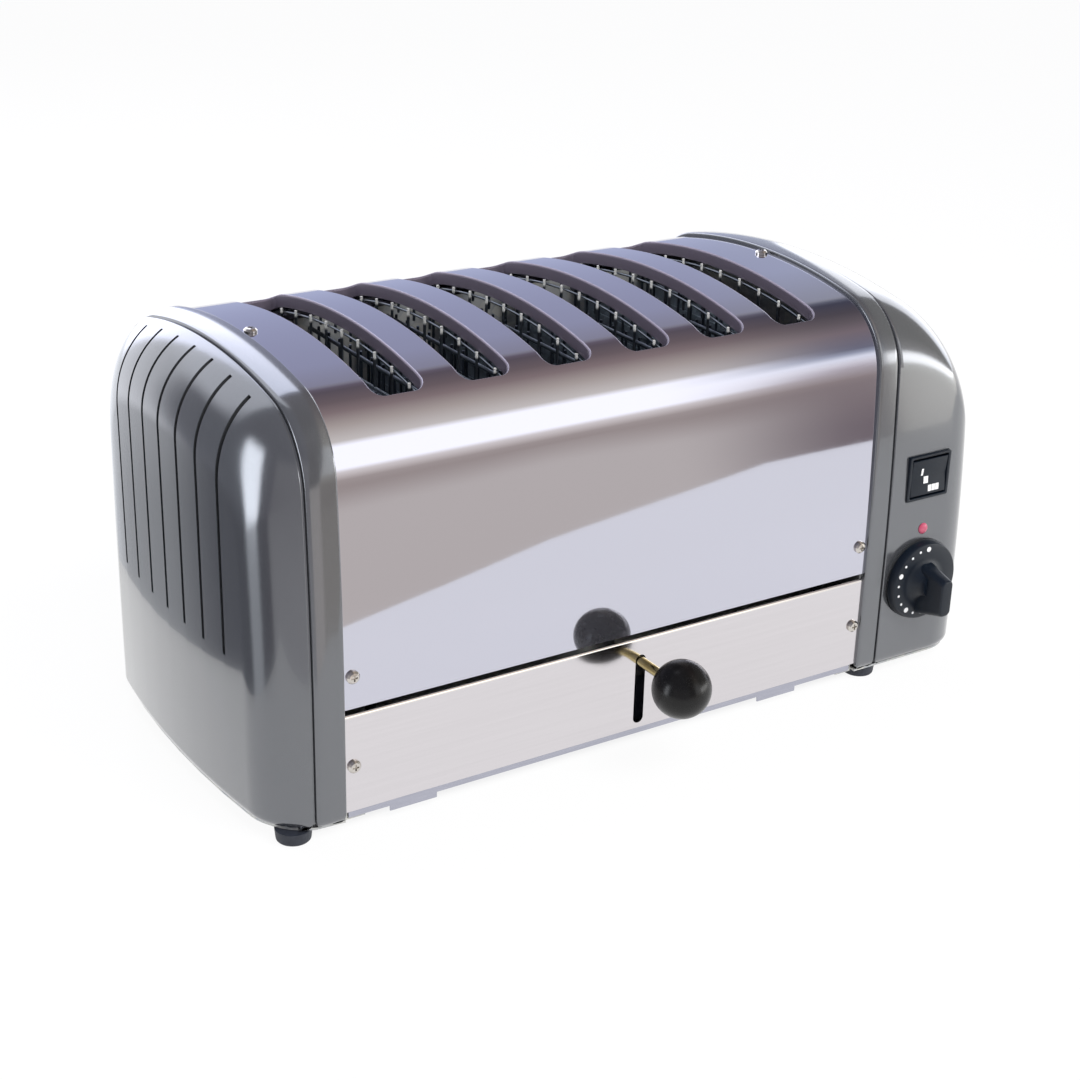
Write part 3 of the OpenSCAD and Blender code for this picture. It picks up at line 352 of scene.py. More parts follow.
# Bread guards and racks are drawn wire and folded strip of steel, blued by the heat of the elements.
# The wires are spot-welded to their rods; the posts that guide the lift bar are of the same steel.
heat_size = 9
wire, tree, surface, place = material("steel_wire_heat_blued", "#5c636b", 1, 0.42)
mottled(tree, surface, place, heat_size, 3, "#464d55", "#747b83")
dress(wire, *[f"guard_{s}_{i}" for s in ("left", "right") for i in range(1, 7)],
      *[f"bread_rack_{i}" for i in range(1, 7)], "guide_post_left", "guide_post_right", "timer_shaft")

# The wrap is one stainless sheet over the front, top and back, mirror-polished.
# The slots are punched in the flat and their edges turned down, then the sheet is bent to the arch.
half_depth, wrap_foot, wrap_top, sheet_t, hem_h = 108, 69.4, 231.5, 1, 30
crown_r, shoulder_r, face_r = 350, 40, 1800
slot_w, slot_l, slot_r, slot_pitch = 27.5, 170, 6, 48.5
lip_d, lip_bend, bend_steps, arch_cuts, slots_reach, edge_clear = 7, 1.2, 5, 160, 100, 5
slot_list = [(left_rim + right_rim) / 2 + (i - 2.5) * slot_pitch for i in range(6)]
veil_full, veil_gone, veil_metallic = 95, 125, 0.955
# The arch is a crown, two shoulders and two nearly upright faces, each an arc that runs into the next
face_c, crown_c = Vector((face_r - half_depth, wrap_foot)), Vector((0, wrap_top - crown_r))
between = crown_c - face_c
gap = between.length
near = (face_r - shoulder_r) ** 2 - (crown_r - shoulder_r) ** 2
near = (near + gap * gap) / (2 * gap)
off_line = sqrt((face_r - shoulder_r) ** 2 - near * near)
shoulder_c = face_c + between * near / gap + Vector((between.y, -between.x)) * off_line / gap
face_turn = atan2(shoulder_c.y - face_c.y, face_c.x - shoulder_c.x)
crown_turn = atan2(-shoulder_c.x, shoulder_c.y - crown_c.y)
shoulder_turn = pi / 2 - crown_turn - face_turn
crown_run = crown_r * crown_turn
shoulder_run = shoulder_r * shoulder_turn
face_run = face_r * face_turn
sheet_half = crown_run + shoulder_run + face_run


# Place on the arch and the way it faces, at a run of sheet from the middle of the top
def on_arch(run):
    far, side = abs(run), (1 if run > 0 else -1)
    if far <= crown_run:
        turn, centre, r = far / crown_r, (0, crown_c.y), crown_r
    elif far <= crown_run + shoulder_run:
        turn = crown_turn + (far - crown_run) / shoulder_r
        centre, r = (-shoulder_c.x, shoulder_c.y), shoulder_r
    else:
        turn = pi / 2 - face_turn + (far - crown_run - shoulder_run) / face_r
        centre, r = (-face_c.x, face_c.y), face_r
    return Vector((0, side * (centre[0] + r * sin(turn)), centre[1] + r * cos(turn))), \
        Vector((0, side * sin(turn), cos(turn)))


# Run of sheet that ends over a depth y, on the top or the shoulder
def run_to(y):
    far, side = abs(y), (1 if y > 0 else -1)
    if far <= -shoulder_c.x + shoulder_r * sin(crown_turn):
        return side * crown_r * asin(far / crown_r)
    return side * (crown_run + shoulder_r * (asin((far + shoulder_c.x) / shoulder_r) - crown_turn))


# Closed loops of edges round a plain rectangle and round one with rounded corners, in the plane of x and y
def plain_loop(bm, x_low, y_low, x_high, y_high):
    corners = [bm.verts.new((x, y, 0)) for x, y in (
        (x_low, y_low), (x_high, y_low), (x_high, y_high), (x_low, y_high))]
    for i in range(4):
        bm.edges.new((corners[i], corners[i - 1]))


def rounded_loop(bm, x, y, w, h, r, steps=8):
    ring = bmesh.ops.create_circle(bm, segments=4 * steps, radius=r,
                                   matrix=Matrix.Rotation(pi / 4 / steps, 4, "Z"))
    for v in ring["verts"]:
        v.co.x += (w / 2 - r if v.co.x > 0 else r - w / 2) + x
        v.co.y += (h / 2 - r if v.co.y > 0 else r - h / 2) + y


# Cuts the given faces, or all of them, along a plane square to an axis
def slice_at(bm, axis, at, faces=None):
    geom = bm.verts[:] + bm.edges[:] + bm.faces[:]
    if faces is not None:
        geom = list({v for f in faces for v in f.verts}) + list({e for f in faces for e in f.edges}) + faces
    spot, way = Vector(), Vector()
    spot[axis], way[axis] = at, 1
    bmesh.ops.bisect_plane(bm, geom=geom, dist=0.0001, plane_co=spot, plane_no=way)


def points_of(made):
    return [g for g in made if isinstance(g, bmesh.types.BMVert)]


def edges_of(made):
    return [g for g in made if isinstance(g, bmesh.types.BMEdge)]


# Mirror-polished stainless: nearly perfect reflections, a slow waviness of the sheet, faint buffing lines
# (drawn coarse, to show), a thin veil of handling low down, and on the slots' lips a dull purple-grey that is
# heat tint and a painted shade for the dark slot mirrored there
mirror, tree, surface, place = material("stainless_mirror_polished", "#cbcbd7", 1, 0.035)
tint_and_shade = add(tree, "Attribute", attribute_name="heat_tint_and_shade")
# The lips take a dull purple-grey: heat tint, and a painted shade standing in for the dark slot they mirror
add(tree, "Mix", [(0, tint_and_shade.outputs["Fac"]), (6, linear("#cbcbd7")), (7, linear("#736b79"))],
    [(2, surface["Base Color"])], data_type="RGBA")
along = add(tree, "Mapping", [("Vector", place), ("Scale", (0.05, 1, 1))])
buffing = add(tree, "TexNoise",
              [("Vector", along.outputs[0]), ("Scale", 1 / (0.8 * MM)), ("Detail", 2.0)])
rough = add(tree, "MapRange",
            [("Value", buffing.outputs["Fac"]), ("To Min", 0.02), ("To Max", 0.06)])
add(tree, "Mix", [(0, tint_and_shade.outputs["Fac"]), (2, rough.outputs["Result"]), (3, 0.42)],
    [(0, surface["Roughness"])])
height = add(tree, "SeparateXYZ", [(0, place)])
veil = add(tree, "MapRange", [(0, height.outputs["Z"]), (1, veil_full * MM), (2, veil_gone * MM),
                              (3, veil_metallic), (4, 1.0)])
add(tree, "Mix", [(0, tint_and_shade.outputs["Fac"]), (2, veil.outputs[0]), (3, 0.35)],
    [(0, surface["Metallic"])])
waves = add(tree, "TexNoise", [("Vector", place), ("Scale", 1 / (120 * MM)), ("Detail", 0.0)])
add(tree, "Bump", [("Height", waves.outputs["Fac"]), ("Strength", 1.0), ("Distance", 0.35 * MM)],
    [("Normal", surface["Normal"])])

# The flat sheet with its slots, cut across so that it can be bent
bm = bmesh.new()
plain_loop(bm, left_rim, -sheet_half, right_rim, sheet_half)
plan = bm.verts.layers.float_vector.new("plan")
tint = bm.verts.layers.float.new("heat_tint_and_shade")
for x in slot_list:
    rounded_loop(bm, x, 0, slot_w + 2 * lip_bend, slot_l + 2 * lip_bend, slot_r + lip_bend)
bmesh.ops.triangle_fill(bm, use_beauty=True, edges=bm.edges[:], normal=(0, 0, 1))
for v in bm.verts:
    if abs(v.co.y) < sheet_half - 1:
        v.co.y = run_to(v.co.y)
for i in range(1, arch_cuts):
    slice_at(bm, 1, sheet_half * (2 * i / arch_cuts - 1))
facing = {}
for v in bm.verts:
    spot, facing[v] = on_arch(v.co.y)
    v.co = Vector((v.co.x, spot.y, spot.z))
# The slots' edges turn down in a small bend to a lip; each point knows its way out from the slot in plan
rims = [e for e in bm.edges if e.is_boundary and abs(e.verts[0].co.y) < slots_reach and
        left_rim + edge_clear < e.verts[0].co.x < right_rim - edge_clear]
for v in {v for e in rims for v in e.verts}:
    slot_x = min(slot_list, key=lambda x: abs(x - v.co.x))
    corner = Vector((max(slot_x - slot_w / 2 + slot_r, min(slot_x + slot_w / 2 - slot_r, v.co.x)),
                     max(slot_r - slot_l / 2, min(slot_l / 2 - slot_r, v.co.y)), 0))
    v[plan] = (Vector((v.co.x, v.co.y, 0)) - corner).normalized()
# Every point of the lips is marked for the painted purple-grey shade and heat tint of the mirror finish
lip = rims
for i in range(1, bend_steps + 3):
    made = bmesh.ops.extrude_edge_only(bm, edges=lip)["geom"]
    lip = [e for e in edges_of(made) if e.is_boundary]
    turn, was = pi / 2 * min(i, bend_steps) / bend_steps, pi / 2 * min(i - 1, bend_steps) / bend_steps
    for v in points_of(made):
        inward = -Vector(v[plan])
        v[tint] = 1
        if i <= bend_steps:
            v.co += inward * lip_bend * (sin(turn) - sin(was))
            v.co.z -= lip_bend * (cos(was) - cos(turn))
            facing[v] = Vector((0, 0, cos(turn))) + inward * sin(turn)
        elif i == bend_steps + 1:
            v.co.z -= lip_d - lip_bend
            facing[v] = inward
        else:
            v.co -= inward * sheet_t
            facing[v] = Vector((0, 0, -1))
# Front and back, the foot is hemmed inwards and up
for y in (-1, 1):
    foot = [e for e in bm.edges if e.is_boundary and
            all(abs(v.co.z - wrap_foot) < 0.01 and v.co.y * y > 0 for v in e.verts)]
    made = bmesh.ops.extrude_edge_only(bm, edges=foot)["geom"]
    lower = points_of(made)
    bmesh.ops.translate(bm, vec=(0, -y * sheet_t, 0), verts=lower)
    for v in lower:
        facing[v] = Vector((0, 0, -1))
    again = bmesh.ops.extrude_edge_only(
        bm, edges=[e for e in edges_of(made) if e.is_boundary and all(v in lower for v in e.verts)])["geom"]
    inner = points_of(again)
    bmesh.ops.translate(bm, vec=(0, 0, hem_h), verts=inner)
    for v in inner:
        facing[v] = Vector((0, -y, 0))
bmesh.ops.recalc_face_normals(bm, faces=bm.faces[:])
bm.verts.index_update()
ways = [facing[v].normalized() for v in bm.verts]
for f in bm.faces:
    if f.normal.dot(sum((facing[v] for v in f.verts), Vector())) < 0:
        f.normal_flip()
mesh = in_frame(bm, "polished_wrap", mirror)
mesh.normals_split_custom_set_from_vertices(ways)
wrap = bpy.data.objects.new("polished_wrap", mesh)
scene.collection.objects.link(wrap)
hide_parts("body_wrap")
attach(wrap, "body")

# Under each slot's long edges a bent wire follows the arch and keeps the bread off the lip.
# Short uprights carry it from the guard's upper rod, and are welded to both; their tips are painted near
# white as a painted glint.
guide_r, guide_x, guide_end, guide_pitch = 0.7, 13.9, 76, 17.8
upright_r, upright_proud, weld = 0.8, 2.4, 0.2
guard_rod_z, guide_drop = 204.3, lip_d + 2.6
guide_arc = crown_r - guide_drop
# Drawn steel wire: dulled by heat, with a painted near-white glint on the uprights' tips, where the attribute
# marks them
painted_tip_glint, tree, surface, place = material("steel_wire_painted_glint", "#7b8087", 1, 0.3)
heat = add(tree, "TexNoise", [("Vector", place), ("Scale", 1 / (heat_size * MM)), ("Detail", 3.0)])
tone = add(tree, "Mix", [(0, heat.outputs["Fac"]), (6, linear("#60666d")), (7, linear("#8a9097"))],
           data_type="RGBA")
glint_marks = add(tree, "Attribute", attribute_name="painted_tip_glint")
tips = add(tree, "MapRange", [(0, glint_marks.outputs["Fac"]), (1, 0.76), (2, 0.84)])
# The uprights' tips are painted near white and less metallic: a painted glint
add(tree, "Mix", [(0, tips.outputs[0]), (6, tone.outputs[2]), (7, linear("#f2f2ee"))],
    [(2, surface["Base Color"])], data_type="RGBA")
add(tree, "Mix", [(0, tips.outputs[0]), (2, 1.0), (3, 0.25)], [(0, surface["Metallic"])])
for i, x in enumerate(slot_list):
    bm = bmesh.new()
    glint_layer = bm.verts.layers.float.new("painted_tip_glint")
    for side in (-1, 1):
        turn = asin(guide_end / guide_arc)
        at_top = Matrix.Translation((x + side * guide_x, crown_c.x, crown_c.y + guide_arc))
        ring = bmesh.ops.create_circle(bm, segments=12, radius=guide_r,
                                       matrix=at_top @ Matrix.Rotation(pi / 2, 4, "X"))["verts"]
        bmesh.ops.rotate(bm, cent=(0, 0, crown_c.y), matrix=Matrix.Rotation(-turn, 3, "X"), verts=ring)
        loop = list({e for v in ring for e in v.link_edges})
        bmesh.ops.spin(bm, geom=ring + loop, cent=(0, 0, crown_c.y), axis=(1, 0, 0), angle=2 * turn, steps=32)
        upright_x = x + side * (guide_x - guide_r - upright_r + weld)
        for k in range(-4, 5):
            y = k * guide_pitch
            top = crown_c.y + sqrt(guide_arc ** 2 - y * y) + upright_proud
            upright = bmesh.ops.create_cone(
                bm, cap_ends=True, segments=10, radius1=upright_r, radius2=upright_r, depth=top - guard_rod_z,
                matrix=Matrix.Translation((upright_x, y, (top + guard_rod_z) / 2)))
            for v in upright["verts"]:
                v[glint_layer] = 1 if v.co.z > top - 0.1 else 0
    bmesh.ops.recalc_face_normals(bm, faces=bm.faces[:])
    finish(bm, f"toast_guide_{i + 1}", "body", painted_tip_glint)

# The lower panels are folded strips of stainless under the wrap, front and back, a little duller than it.
# Their top edge is rolled over to a bead, with a painted highlight along its upper half, and the front one
# has an upright slot for the lever.
panel_foot, panel_top, panel_roll, panel_fold, fold_r = 11.3, 66, 1.5, 9, 1.5
lever_x, lever_z, lever_travel, lever_slot_w = -7.2, 52.3, 33.5, 6.5
roll_z, fold_z = panel_top - panel_roll, panel_foot + fold_r
# Fine satin stainless: a soft mirror with a faint haze along the strip; the rolled bead's upper half is
# burnished smooth and painted a pale warm highlight
satin, tree, surface, place = material("stainless_fine_satin", "#d9d5d8", 1, 0.14)
along = add(tree, "Mapping", [("Vector", place), ("Scale", (0.02, 1, 1))])
belt = add(tree, "TexNoise",
           [("Vector", along.outputs[0]), ("Scale", 1 / (1.5 * MM)), ("Detail", 2.0)])
height = add(tree, "SeparateXYZ", [(0, place)])
bead_burnish_and_highlight = add(tree, "MapRange",
           [(0, height.outputs["Z"]), (1, (roll_z - 0.3) * MM), (2, (roll_z + 0.2) * MM)])
haze = add(tree, "MapRange", [("Value", belt.outputs["Fac"]), ("To Min", 0.12), ("To Max", 0.16)])
add(tree, "Mix", [(0, bead_burnish_and_highlight.outputs[0]), (2, haze.outputs["Result"]), (3, 0.05)],
    [(0, surface["Roughness"])])
tone = add(tree, "Mix", [(0, belt.outputs["Fac"]), (6, linear("#d6d2d5")), (7, linear("#dcd8db"))],
           data_type="RGBA")
# The bead's upper half is painted a pale warm tone: a painted highlight
add(tree, "Mix", [(0, bead_burnish_and_highlight.outputs[0]), (6, tone.outputs[2]), (7, linear("#f3efe9"))],
    [(2, surface["Base Color"])], data_type="RGBA")

for face, y in (("front", -1), ("rear", 1)):
    bm = bmesh.new()
    plain_loop(bm, left_rim, fold_z, right_rim, roll_z)
    if face == "front":
        rounded_loop(bm, lever_x, lever_z - lever_travel / 2, lever_slot_w, lever_travel + lever_slot_w + 1,
                     lever_slot_w / 2 - 0.01)
    bmesh.ops.triangle_fill(bm, use_beauty=True, edges=bm.edges[:], normal=(0, 0, 1))
    for v in bm.verts:
        v.co = Vector((v.co.x, y * half_depth, v.co.y))
    slot_rim = [e for e in bm.edges if e.is_boundary and
                left_rim + edge_clear < e.verts[0].co.x < right_rim - edge_clear]
    made = bmesh.ops.extrude_edge_only(bm, edges=slot_rim)["geom"]
    bmesh.ops.translate(bm, vec=(0, -y * sheet_t, 0), verts=points_of(made))
    top = [e for e in bm.edges if all(abs(v.co.z - roll_z) < 0.01 for v in e.verts)]
    bmesh.ops.spin(bm, geom=top + list({v for e in top for v in e.verts}),
                   cent=(0, y * (half_depth - panel_roll), roll_z),
                   axis=(y, 0, 0), angle=radians(300), steps=20)
    low = [e for e in bm.edges if all(abs(v.co.z - fold_z) < 0.01 for v in e.verts)]
    made = bmesh.ops.spin(bm, geom=low + list({v for e in low for v in e.verts}),
                          cent=(0, y * (half_depth - fold_r), fold_z),
                          axis=(-y, 0, 0), angle=radians(90), steps=6)["geom_last"]
    made = bmesh.ops.extrude_edge_only(bm, edges=edges_of(made))["geom"]
    bmesh.ops.translate(bm, vec=(0, -y * (panel_fold - fold_r), 0), verts=points_of(made))
    bmesh.ops.recalc_face_normals(bm, faces=bm.faces[:])
    finish(bm, f"satin_lower_panel_{face}", "body", satin, [f"{face}_lower_panel"])

# Each end is a die-cast aluminium cap that the wrap tucks under, with a groove round it and cooling slots.
# The arch is drawn in to a bowed end face, and the whole is stoved in silver-grey hammer paint.
casting_proud, casting_foot, casting_wall = 2, 8, 4
groove_w, groove_d, sill_r, sill_tuck, rim_r, rim_tuck = 2.4, 1.7, 5, 0.6, 1.2, 1.2
vent_pitch, vent_w, vent_foot, vent_clear = 21, 2.6, 91, 5
control_x, selector_z, selector_w, selector_h = 40.8, 121.8, 31, 27
recess_gap, recess_y = 0.1, -90
big_face, strip_w, strip_off = 400, 8, 0.37
left_end = dict(w=45, rounded=36, rounded_up=43, inward=29, drop=44, bow=9, groove=17, groove_over=1)
right_end = dict(w=82, rounded=25.5, rounded_up=79, inward=10.5, drop=80, bow=5, groove=13.5, groove_over=0)
# Hammer paint: grey with aluminium flake, a fine orange peel and a clear, slightly soft gloss
paint, tree, surface, place = material("hammer_paint_stoved", "#696b6f", 0.7, 0.26,
                                       Coat_Weight=1, Coat_Roughness=0.05)
flake = mottled(tree, surface, place, 0.9, 3, "#636569", "#6f7175")
add(tree, "MapRange", [("Value", flake), ("To Min", 0.14), ("To Max", 0.2)],
    [("Result", surface["Roughness"])])
peel = add(tree, "TexNoise", [("Vector", place), ("Scale", 1 / (1.8 * MM)), ("Detail", 2.0)])
add(tree, "Bump", [("Height", peel.outputs["Fac"]), ("Strength", 0.3), ("Distance", 0.05 * MM)],
    [("Normal", surface["Normal"])])


# The way the arch faces at a point of it, in the plane across the toaster
def arch_facing(arch):
    front = Vector((-abs(arch.x), arch.y))
    facing = Vector((-1, 0)) if arch.y <= wrap_foot else (front - face_c).normalized()
    from_shoulder = front - shoulder_c
    if arch.y > wrap_foot and atan2(-from_shoulder.x, from_shoulder.y) < pi / 2 - face_turn:
        facing = from_shoulder.normalized()
    if atan2(-front.x, front.y - crown_c.y) <= crown_turn:
        facing = (front - crown_c).normalized()
    return Vector((facing.x if arch.x < 0 else -facing.x, facing.y))


# Where a point of the arch comes to lie, a distance s from the inner edge or a share k on to the end face
def drawn_in(arch, end, s, k, sunk):
    start, start_up = end["w"] - end["rounded"], end["w"] - end["rounded_up"]
    shrink = end["drop"] / (wrap_top + casting_proud - casting_foot)
    last = Vector((arch.x * (1 - end["inward"] / (half_depth + casting_proud)),
                   casting_foot + (arch.y - casting_foot) * (1 - shrink)))
    reach = end["w"] - end["bow"] * (arch.x / half_depth) ** 2
    turn = 0 if s <= start else asin((s - start) / (reach - start))
    turn += (pi / 2 - turn) * k
    along = s if k == 0 else start + (reach - start) * sin(turn)
    up = 1 if along <= start_up else sqrt(max(0, 1 - ((along - start_up) / (reach - start_up)) ** 2))
    out = arch - last
    facing = arch_facing(arch)
    if s > rim_r:
        sunk *= end["groove_over"] + (1 - end["groove_over"]) * facing.x ** 2
    y, z = last + Vector((out.x * cos(turn), out.y * up)) - sunk * facing
    bowed = end["w"] - end["bow"] * (y / half_depth) ** 2
    return Vector((s if k == 0 else start + (bowed - start) * sin(turn), y, z))


# The arch's outline, drawn out ring by ring over the rim, the groove and the rounding to the end face
def casting_skin(bm, end):
    v = bm.verts.new((0, -half_depth - casting_proud, casting_foot))
    for high in (0.5, 1):
        v = bmesh.ops.extrude_vert_indiv(bm, verts=[v])["verts"][0]
        v.co.z = casting_foot + (wrap_foot - casting_foot) * high
    for centre, turn, steps in (
            (face_c, face_turn, 10), (shoulder_c, shoulder_turn, 22), (crown_c, 2 * crown_turn, 36),
            (Vector((-shoulder_c.x, shoulder_c.y)), shoulder_turn, 22),
            (Vector((-face_c.x, face_c.y)), face_turn, 10)):
        made = bmesh.ops.spin(bm, geom=[v], cent=(0, centre.x, centre.y), axis=(-1, 0, 0), angle=turn,
                              steps=steps)
        v = points_of(made["geom_last"])[0]
    for high in (0.5, 0):
        v = bmesh.ops.extrude_vert_indiv(bm, verts=[v])["verts"][0]
        v.co.z = casting_foot + (wrap_foot - casting_foot) * high
    outline = bm.verts.layers.float_vector.new("outline")
    for v in bm.verts:
        v[outline] = v.co
        v.co = drawn_in(Vector((v.co.y, v.co.z)), end, 0, 0, casting_proud + rim_tuck)
    groove, past = end["groove"], end["groove"] + groove_w / 2
    start = end["w"] - end["rounded"]
    rings = [(rim_r * (1 - cos(pi / 8 * i)), 0, rim_r * (1 - sin(pi / 8 * i))) for i in range(5)]
    rings += [(rim_r + (groove - groove_w / 2 - rim_r) * i / 8, 0, 0) for i in range(1, 9)]
    rings += [(groove + groove_w * across, 0, groove_d * deep) for across, deep in (
        (-0.4, 0.1), (-0.3, 0.35), (-0.22, 1.15), (0.22, 1.15), (0.3, 0.35), (0.4, 0.1), (0.5, 0))]
    if start > past + groove_w:
        rings += [(past + (start - past) * i / 18, 0, 0) for i in range(1, 19)]
    rings += [(max(start, past), i / 24, 0) for i in range(1, 25)]
    ring = bm.edges[:]
    for s, k, sunk in rings:
        made = bmesh.ops.extrude_edge_only(bm, edges=ring)["geom"]
        fresh = set(points_of(made))
        for v in fresh:
            v.co = drawn_in(Vector((v[outline].y, v[outline].z)), end, s, k, sunk)
        ring = [e for e in edges_of(made) if all(v in fresh for v in e.verts)]
    feet = sorted((v for v in fresh if abs(v.co.z - casting_foot) < 0.01), key=lambda v: v.co.y)
    sill = bm.edges.new((feet[0], feet[-1]))
    end_face = bm.faces.layers.int.new("end_face")
    for f in bmesh.ops.contextual_create(bm, geom=ring + [sill])["faces"]:
        f[end_face] = 1


# Cuts the faces that lie in a box along its sides, and takes out those inside it
def cut_out(bm, low, high, near=3):
    def inside(p, room):
        return all(low[a] is None or p[a] > low[a] - room for a in range(3)) and \
            all(high[a] is None or p[a] < high[a] + room for a in range(3))

    for axis, side in [(axis, side) for axis in range(3) for side in (low, high) if side[axis] is not None]:
        faces = [f for f in bm.faces if inside(f.calc_center_median(), near) or
                 any(inside(v.co, near) for v in f.verts) or f.calc_area() > big_face]
        slice_at(bm, axis, side[axis], faces)
    bmesh.ops.delete(bm, geom=[f for f in bm.faces if inside(f.calc_center_median(), 0)], context="FACES")


def end_casting(end, rim, side, vent_from, name, node, holes=()):
    bm = bmesh.new()
    casting_skin(bm, end)
    # The end face is cut in upright strips, so that it can follow the bow
    for i in range(-12, 13):
        slice_at(bm, 1, i * strip_w + strip_off,
                 [f for f in bm.faces if len(f.verts) > 8 or f.calc_area() > big_face])
    for i in range(-3, 4):
        y = i * vent_pitch
        cut_out(bm, (vent_from + groove_w / 2 + vent_clear, y - vent_w / 2, vent_foot),
                (None, y + vent_w / 2, None))
    for low, high in holes:
        cut_out(bm, low, high)
    end_face = bm.faces.layers.int["end_face"]
    for v in bm.verts:
        if all(f[end_face] for f in v.link_faces):
            v.co.x = end["w"] - end["bow"] * (v.co.y / half_depth) ** 2
    # The sill is cut in level rings, which are tucked in to round it
    for i in range(1, 7):
        slice_at(bm, 2, casting_foot + sill_r * (1 - cos(pi / 12 * i)))
    bmesh.ops.remove_doubles(bm, verts=bm.verts[:], dist=0.001)
    for v in bm.verts:
        v.co.x = rim + side * v.co.x
    bmesh.ops.recalc_face_normals(bm, faces=bm.faces[:])
    outward = sum((f.normal.x * f.calc_area() for f in bm.faces), 0)
    if outward * side < 0:
        bmesh.ops.reverse_faces(bm, faces=bm.faces[:])
    bm.normal_update()
    tucked = {v: sill_r - sqrt(sill_r ** 2 - (casting_foot + sill_r - v.co.z) ** 2)
              for v in bm.verts if v.co.z < casting_foot + sill_r}
    inward = {v: Vector((v.normal.x, v.normal.y, 0)).normalized() * far for v, far in tucked.items()}
    for v, way in inward.items():
        v.co -= way * sill_tuck
    bmesh.ops.solidify(bm, geom=bm.faces[:], thickness=casting_wall)
    finish(bm, name, "body", paint, [node])


end_casting(left_end, left_rim, -1, left_end["groove"], "cast_end_left", "end_casting_left")
recess = ((control_x - selector_w / 2 - recess_gap, None, selector_z - selector_h / 2 - recess_gap),
          (control_x + selector_w / 2 + recess_gap, recess_y, selector_z + selector_h / 2 + recess_gap))
end_casting(right_end, right_rim, 1, right_end["w"] - right_end["rounded"], "cast_end_right",
            "end_casting_right", [recess])

# Pan-head screws with cross recesses hold the wrap and the panels to the end plates.
# They are bright nickel-plated steel, lightly pitted.
nickel, tree, surface, place = material("nickel_plated_screw", "#cdc8c2", 1, 0.16)
pits = add(tree, "TexNoise", [("Vector", place), ("Scale", 1 / (0.7 * MM)), ("Detail", 2.0)])
add(tree, "MapRange", [("Value", pits.outputs["Fac"]), ("To Min", 0.1), ("To Max", 0.26)],
    [("Result", surface["Roughness"])])
dress(nickel, "top_screws", "front_screws", "rear_screws")

# The lever is a steel rod riveted to the lift bar, out through the panel's slot, with a ball on its end.
# The rod is zinc-plated and yellow-passivated, with a collar where it meets the bar.
lever_d, ball_r, ball_reach, rod_inside, bar_t = 5.5, 15.75, 37, 15, 1.5
collar_l, collar_h, collar_edge = 3, 2, 0.4
lever_eye = Vector((lever_x, -half_depth - ball_reach, lever_z))
# Yellow passivated zinc: a metal sheen that clouds from straw to olive
passivated, tree, surface, place = material("yellow_passivated_steel", "#c4b47c", 1, 0.15)
mottled(tree, surface, place, 4, 2, "#ad9a58", "#dccfa0")
bm = bmesh.new()
rod_r, rod_l = lever_d / 2, ball_reach + rod_inside - bar_t - ball_r / 2
turned_profile(bm, [(0, 0), (rod_r, 0), (rod_r, rod_l - collar_l),
                    (rod_r + collar_h - collar_edge, rod_l - collar_l),
                    (rod_r + collar_h, rod_l - collar_l + collar_edge), (rod_r + collar_h, rod_l),
                    (0, rod_l)],
               lever_eye + Vector((0, ball_r / 2, 0)), Vector((0, 1, 0)))
finish(bm, "lever_rod_plated", "carriage", passivated, ["lever_rod"])

# The ball is turned from black phenolic, polished, with a short neck that takes the rod.
# Phenolic keeps a soft gloss, with fine marks from handling.
neck, neck_edge = ball_r * 0.4, 0.6
phenolic, tree, surface, place = material("black_phenolic_polished", "#090909", 0, 0.22, IOR=1.4)
marks = mottled(tree, surface, place, 3, 4, "#060606", "#0d0c0c")
add(tree, "MapRange", [("Value", marks), ("To Min", 0.18), ("To Max", 0.34)],
    [("Result", surface["Roughness"])])
bm = bmesh.new()
ball_turn = pi - asin(neck / ball_r)
ball = [(ball_r * sin(a), -ball_r * cos(a)) for a in [ball_turn * i / 40 for i in range(41)]]
turned_profile(bm, ball + [(neck, ball_r - neck_edge), (neck - neck_edge, ball_r), (rod_r, ball_r),
                           (rod_r, ball_r / 4)],
               lever_eye, Vector((0, 1, 0)))
finish(bm, "lever_ball", "carriage", phenolic, ["lever_knob"])

# The timer knob is moulded in black thermoset: a skirt with dots, a hub that sweeps up to a tall bar to grip.
# It is pushed on the shaft, and the dots are white paint rubbed into pits of the skirt.
control_at, timer_z, casting_y = right_rim + control_x, 58.5, half_depth + casting_proud
knob_r, knob_skirt, knob_grip, knob_gap = 24.25, 5, 19, 0.8
grip_w, grip_l, grip_shift, grip_end_draw, grip_side_draw = 11, 32, -4, 5, 1.35
grip_corner, grip_edge = 3.2, 1.1
hub_r, hub_h = knob_r * 0.62, knob_grip * 0.4
dots, dot_ring, dot_first, dot_step = 13, knob_r * 0.82, 87.5, 18.1
dot_big, dot_small, dot_lift = 1.6, 0.8, 0.06
knob_at = Vector((control_at, -casting_y - knob_gap, timer_z))


def round_off(bm, edges, r, steps):
    bmesh.ops.bevel(bm, geom=edges, offset=r, segments=steps, profile=0.5, affect="EDGES", material=-1)


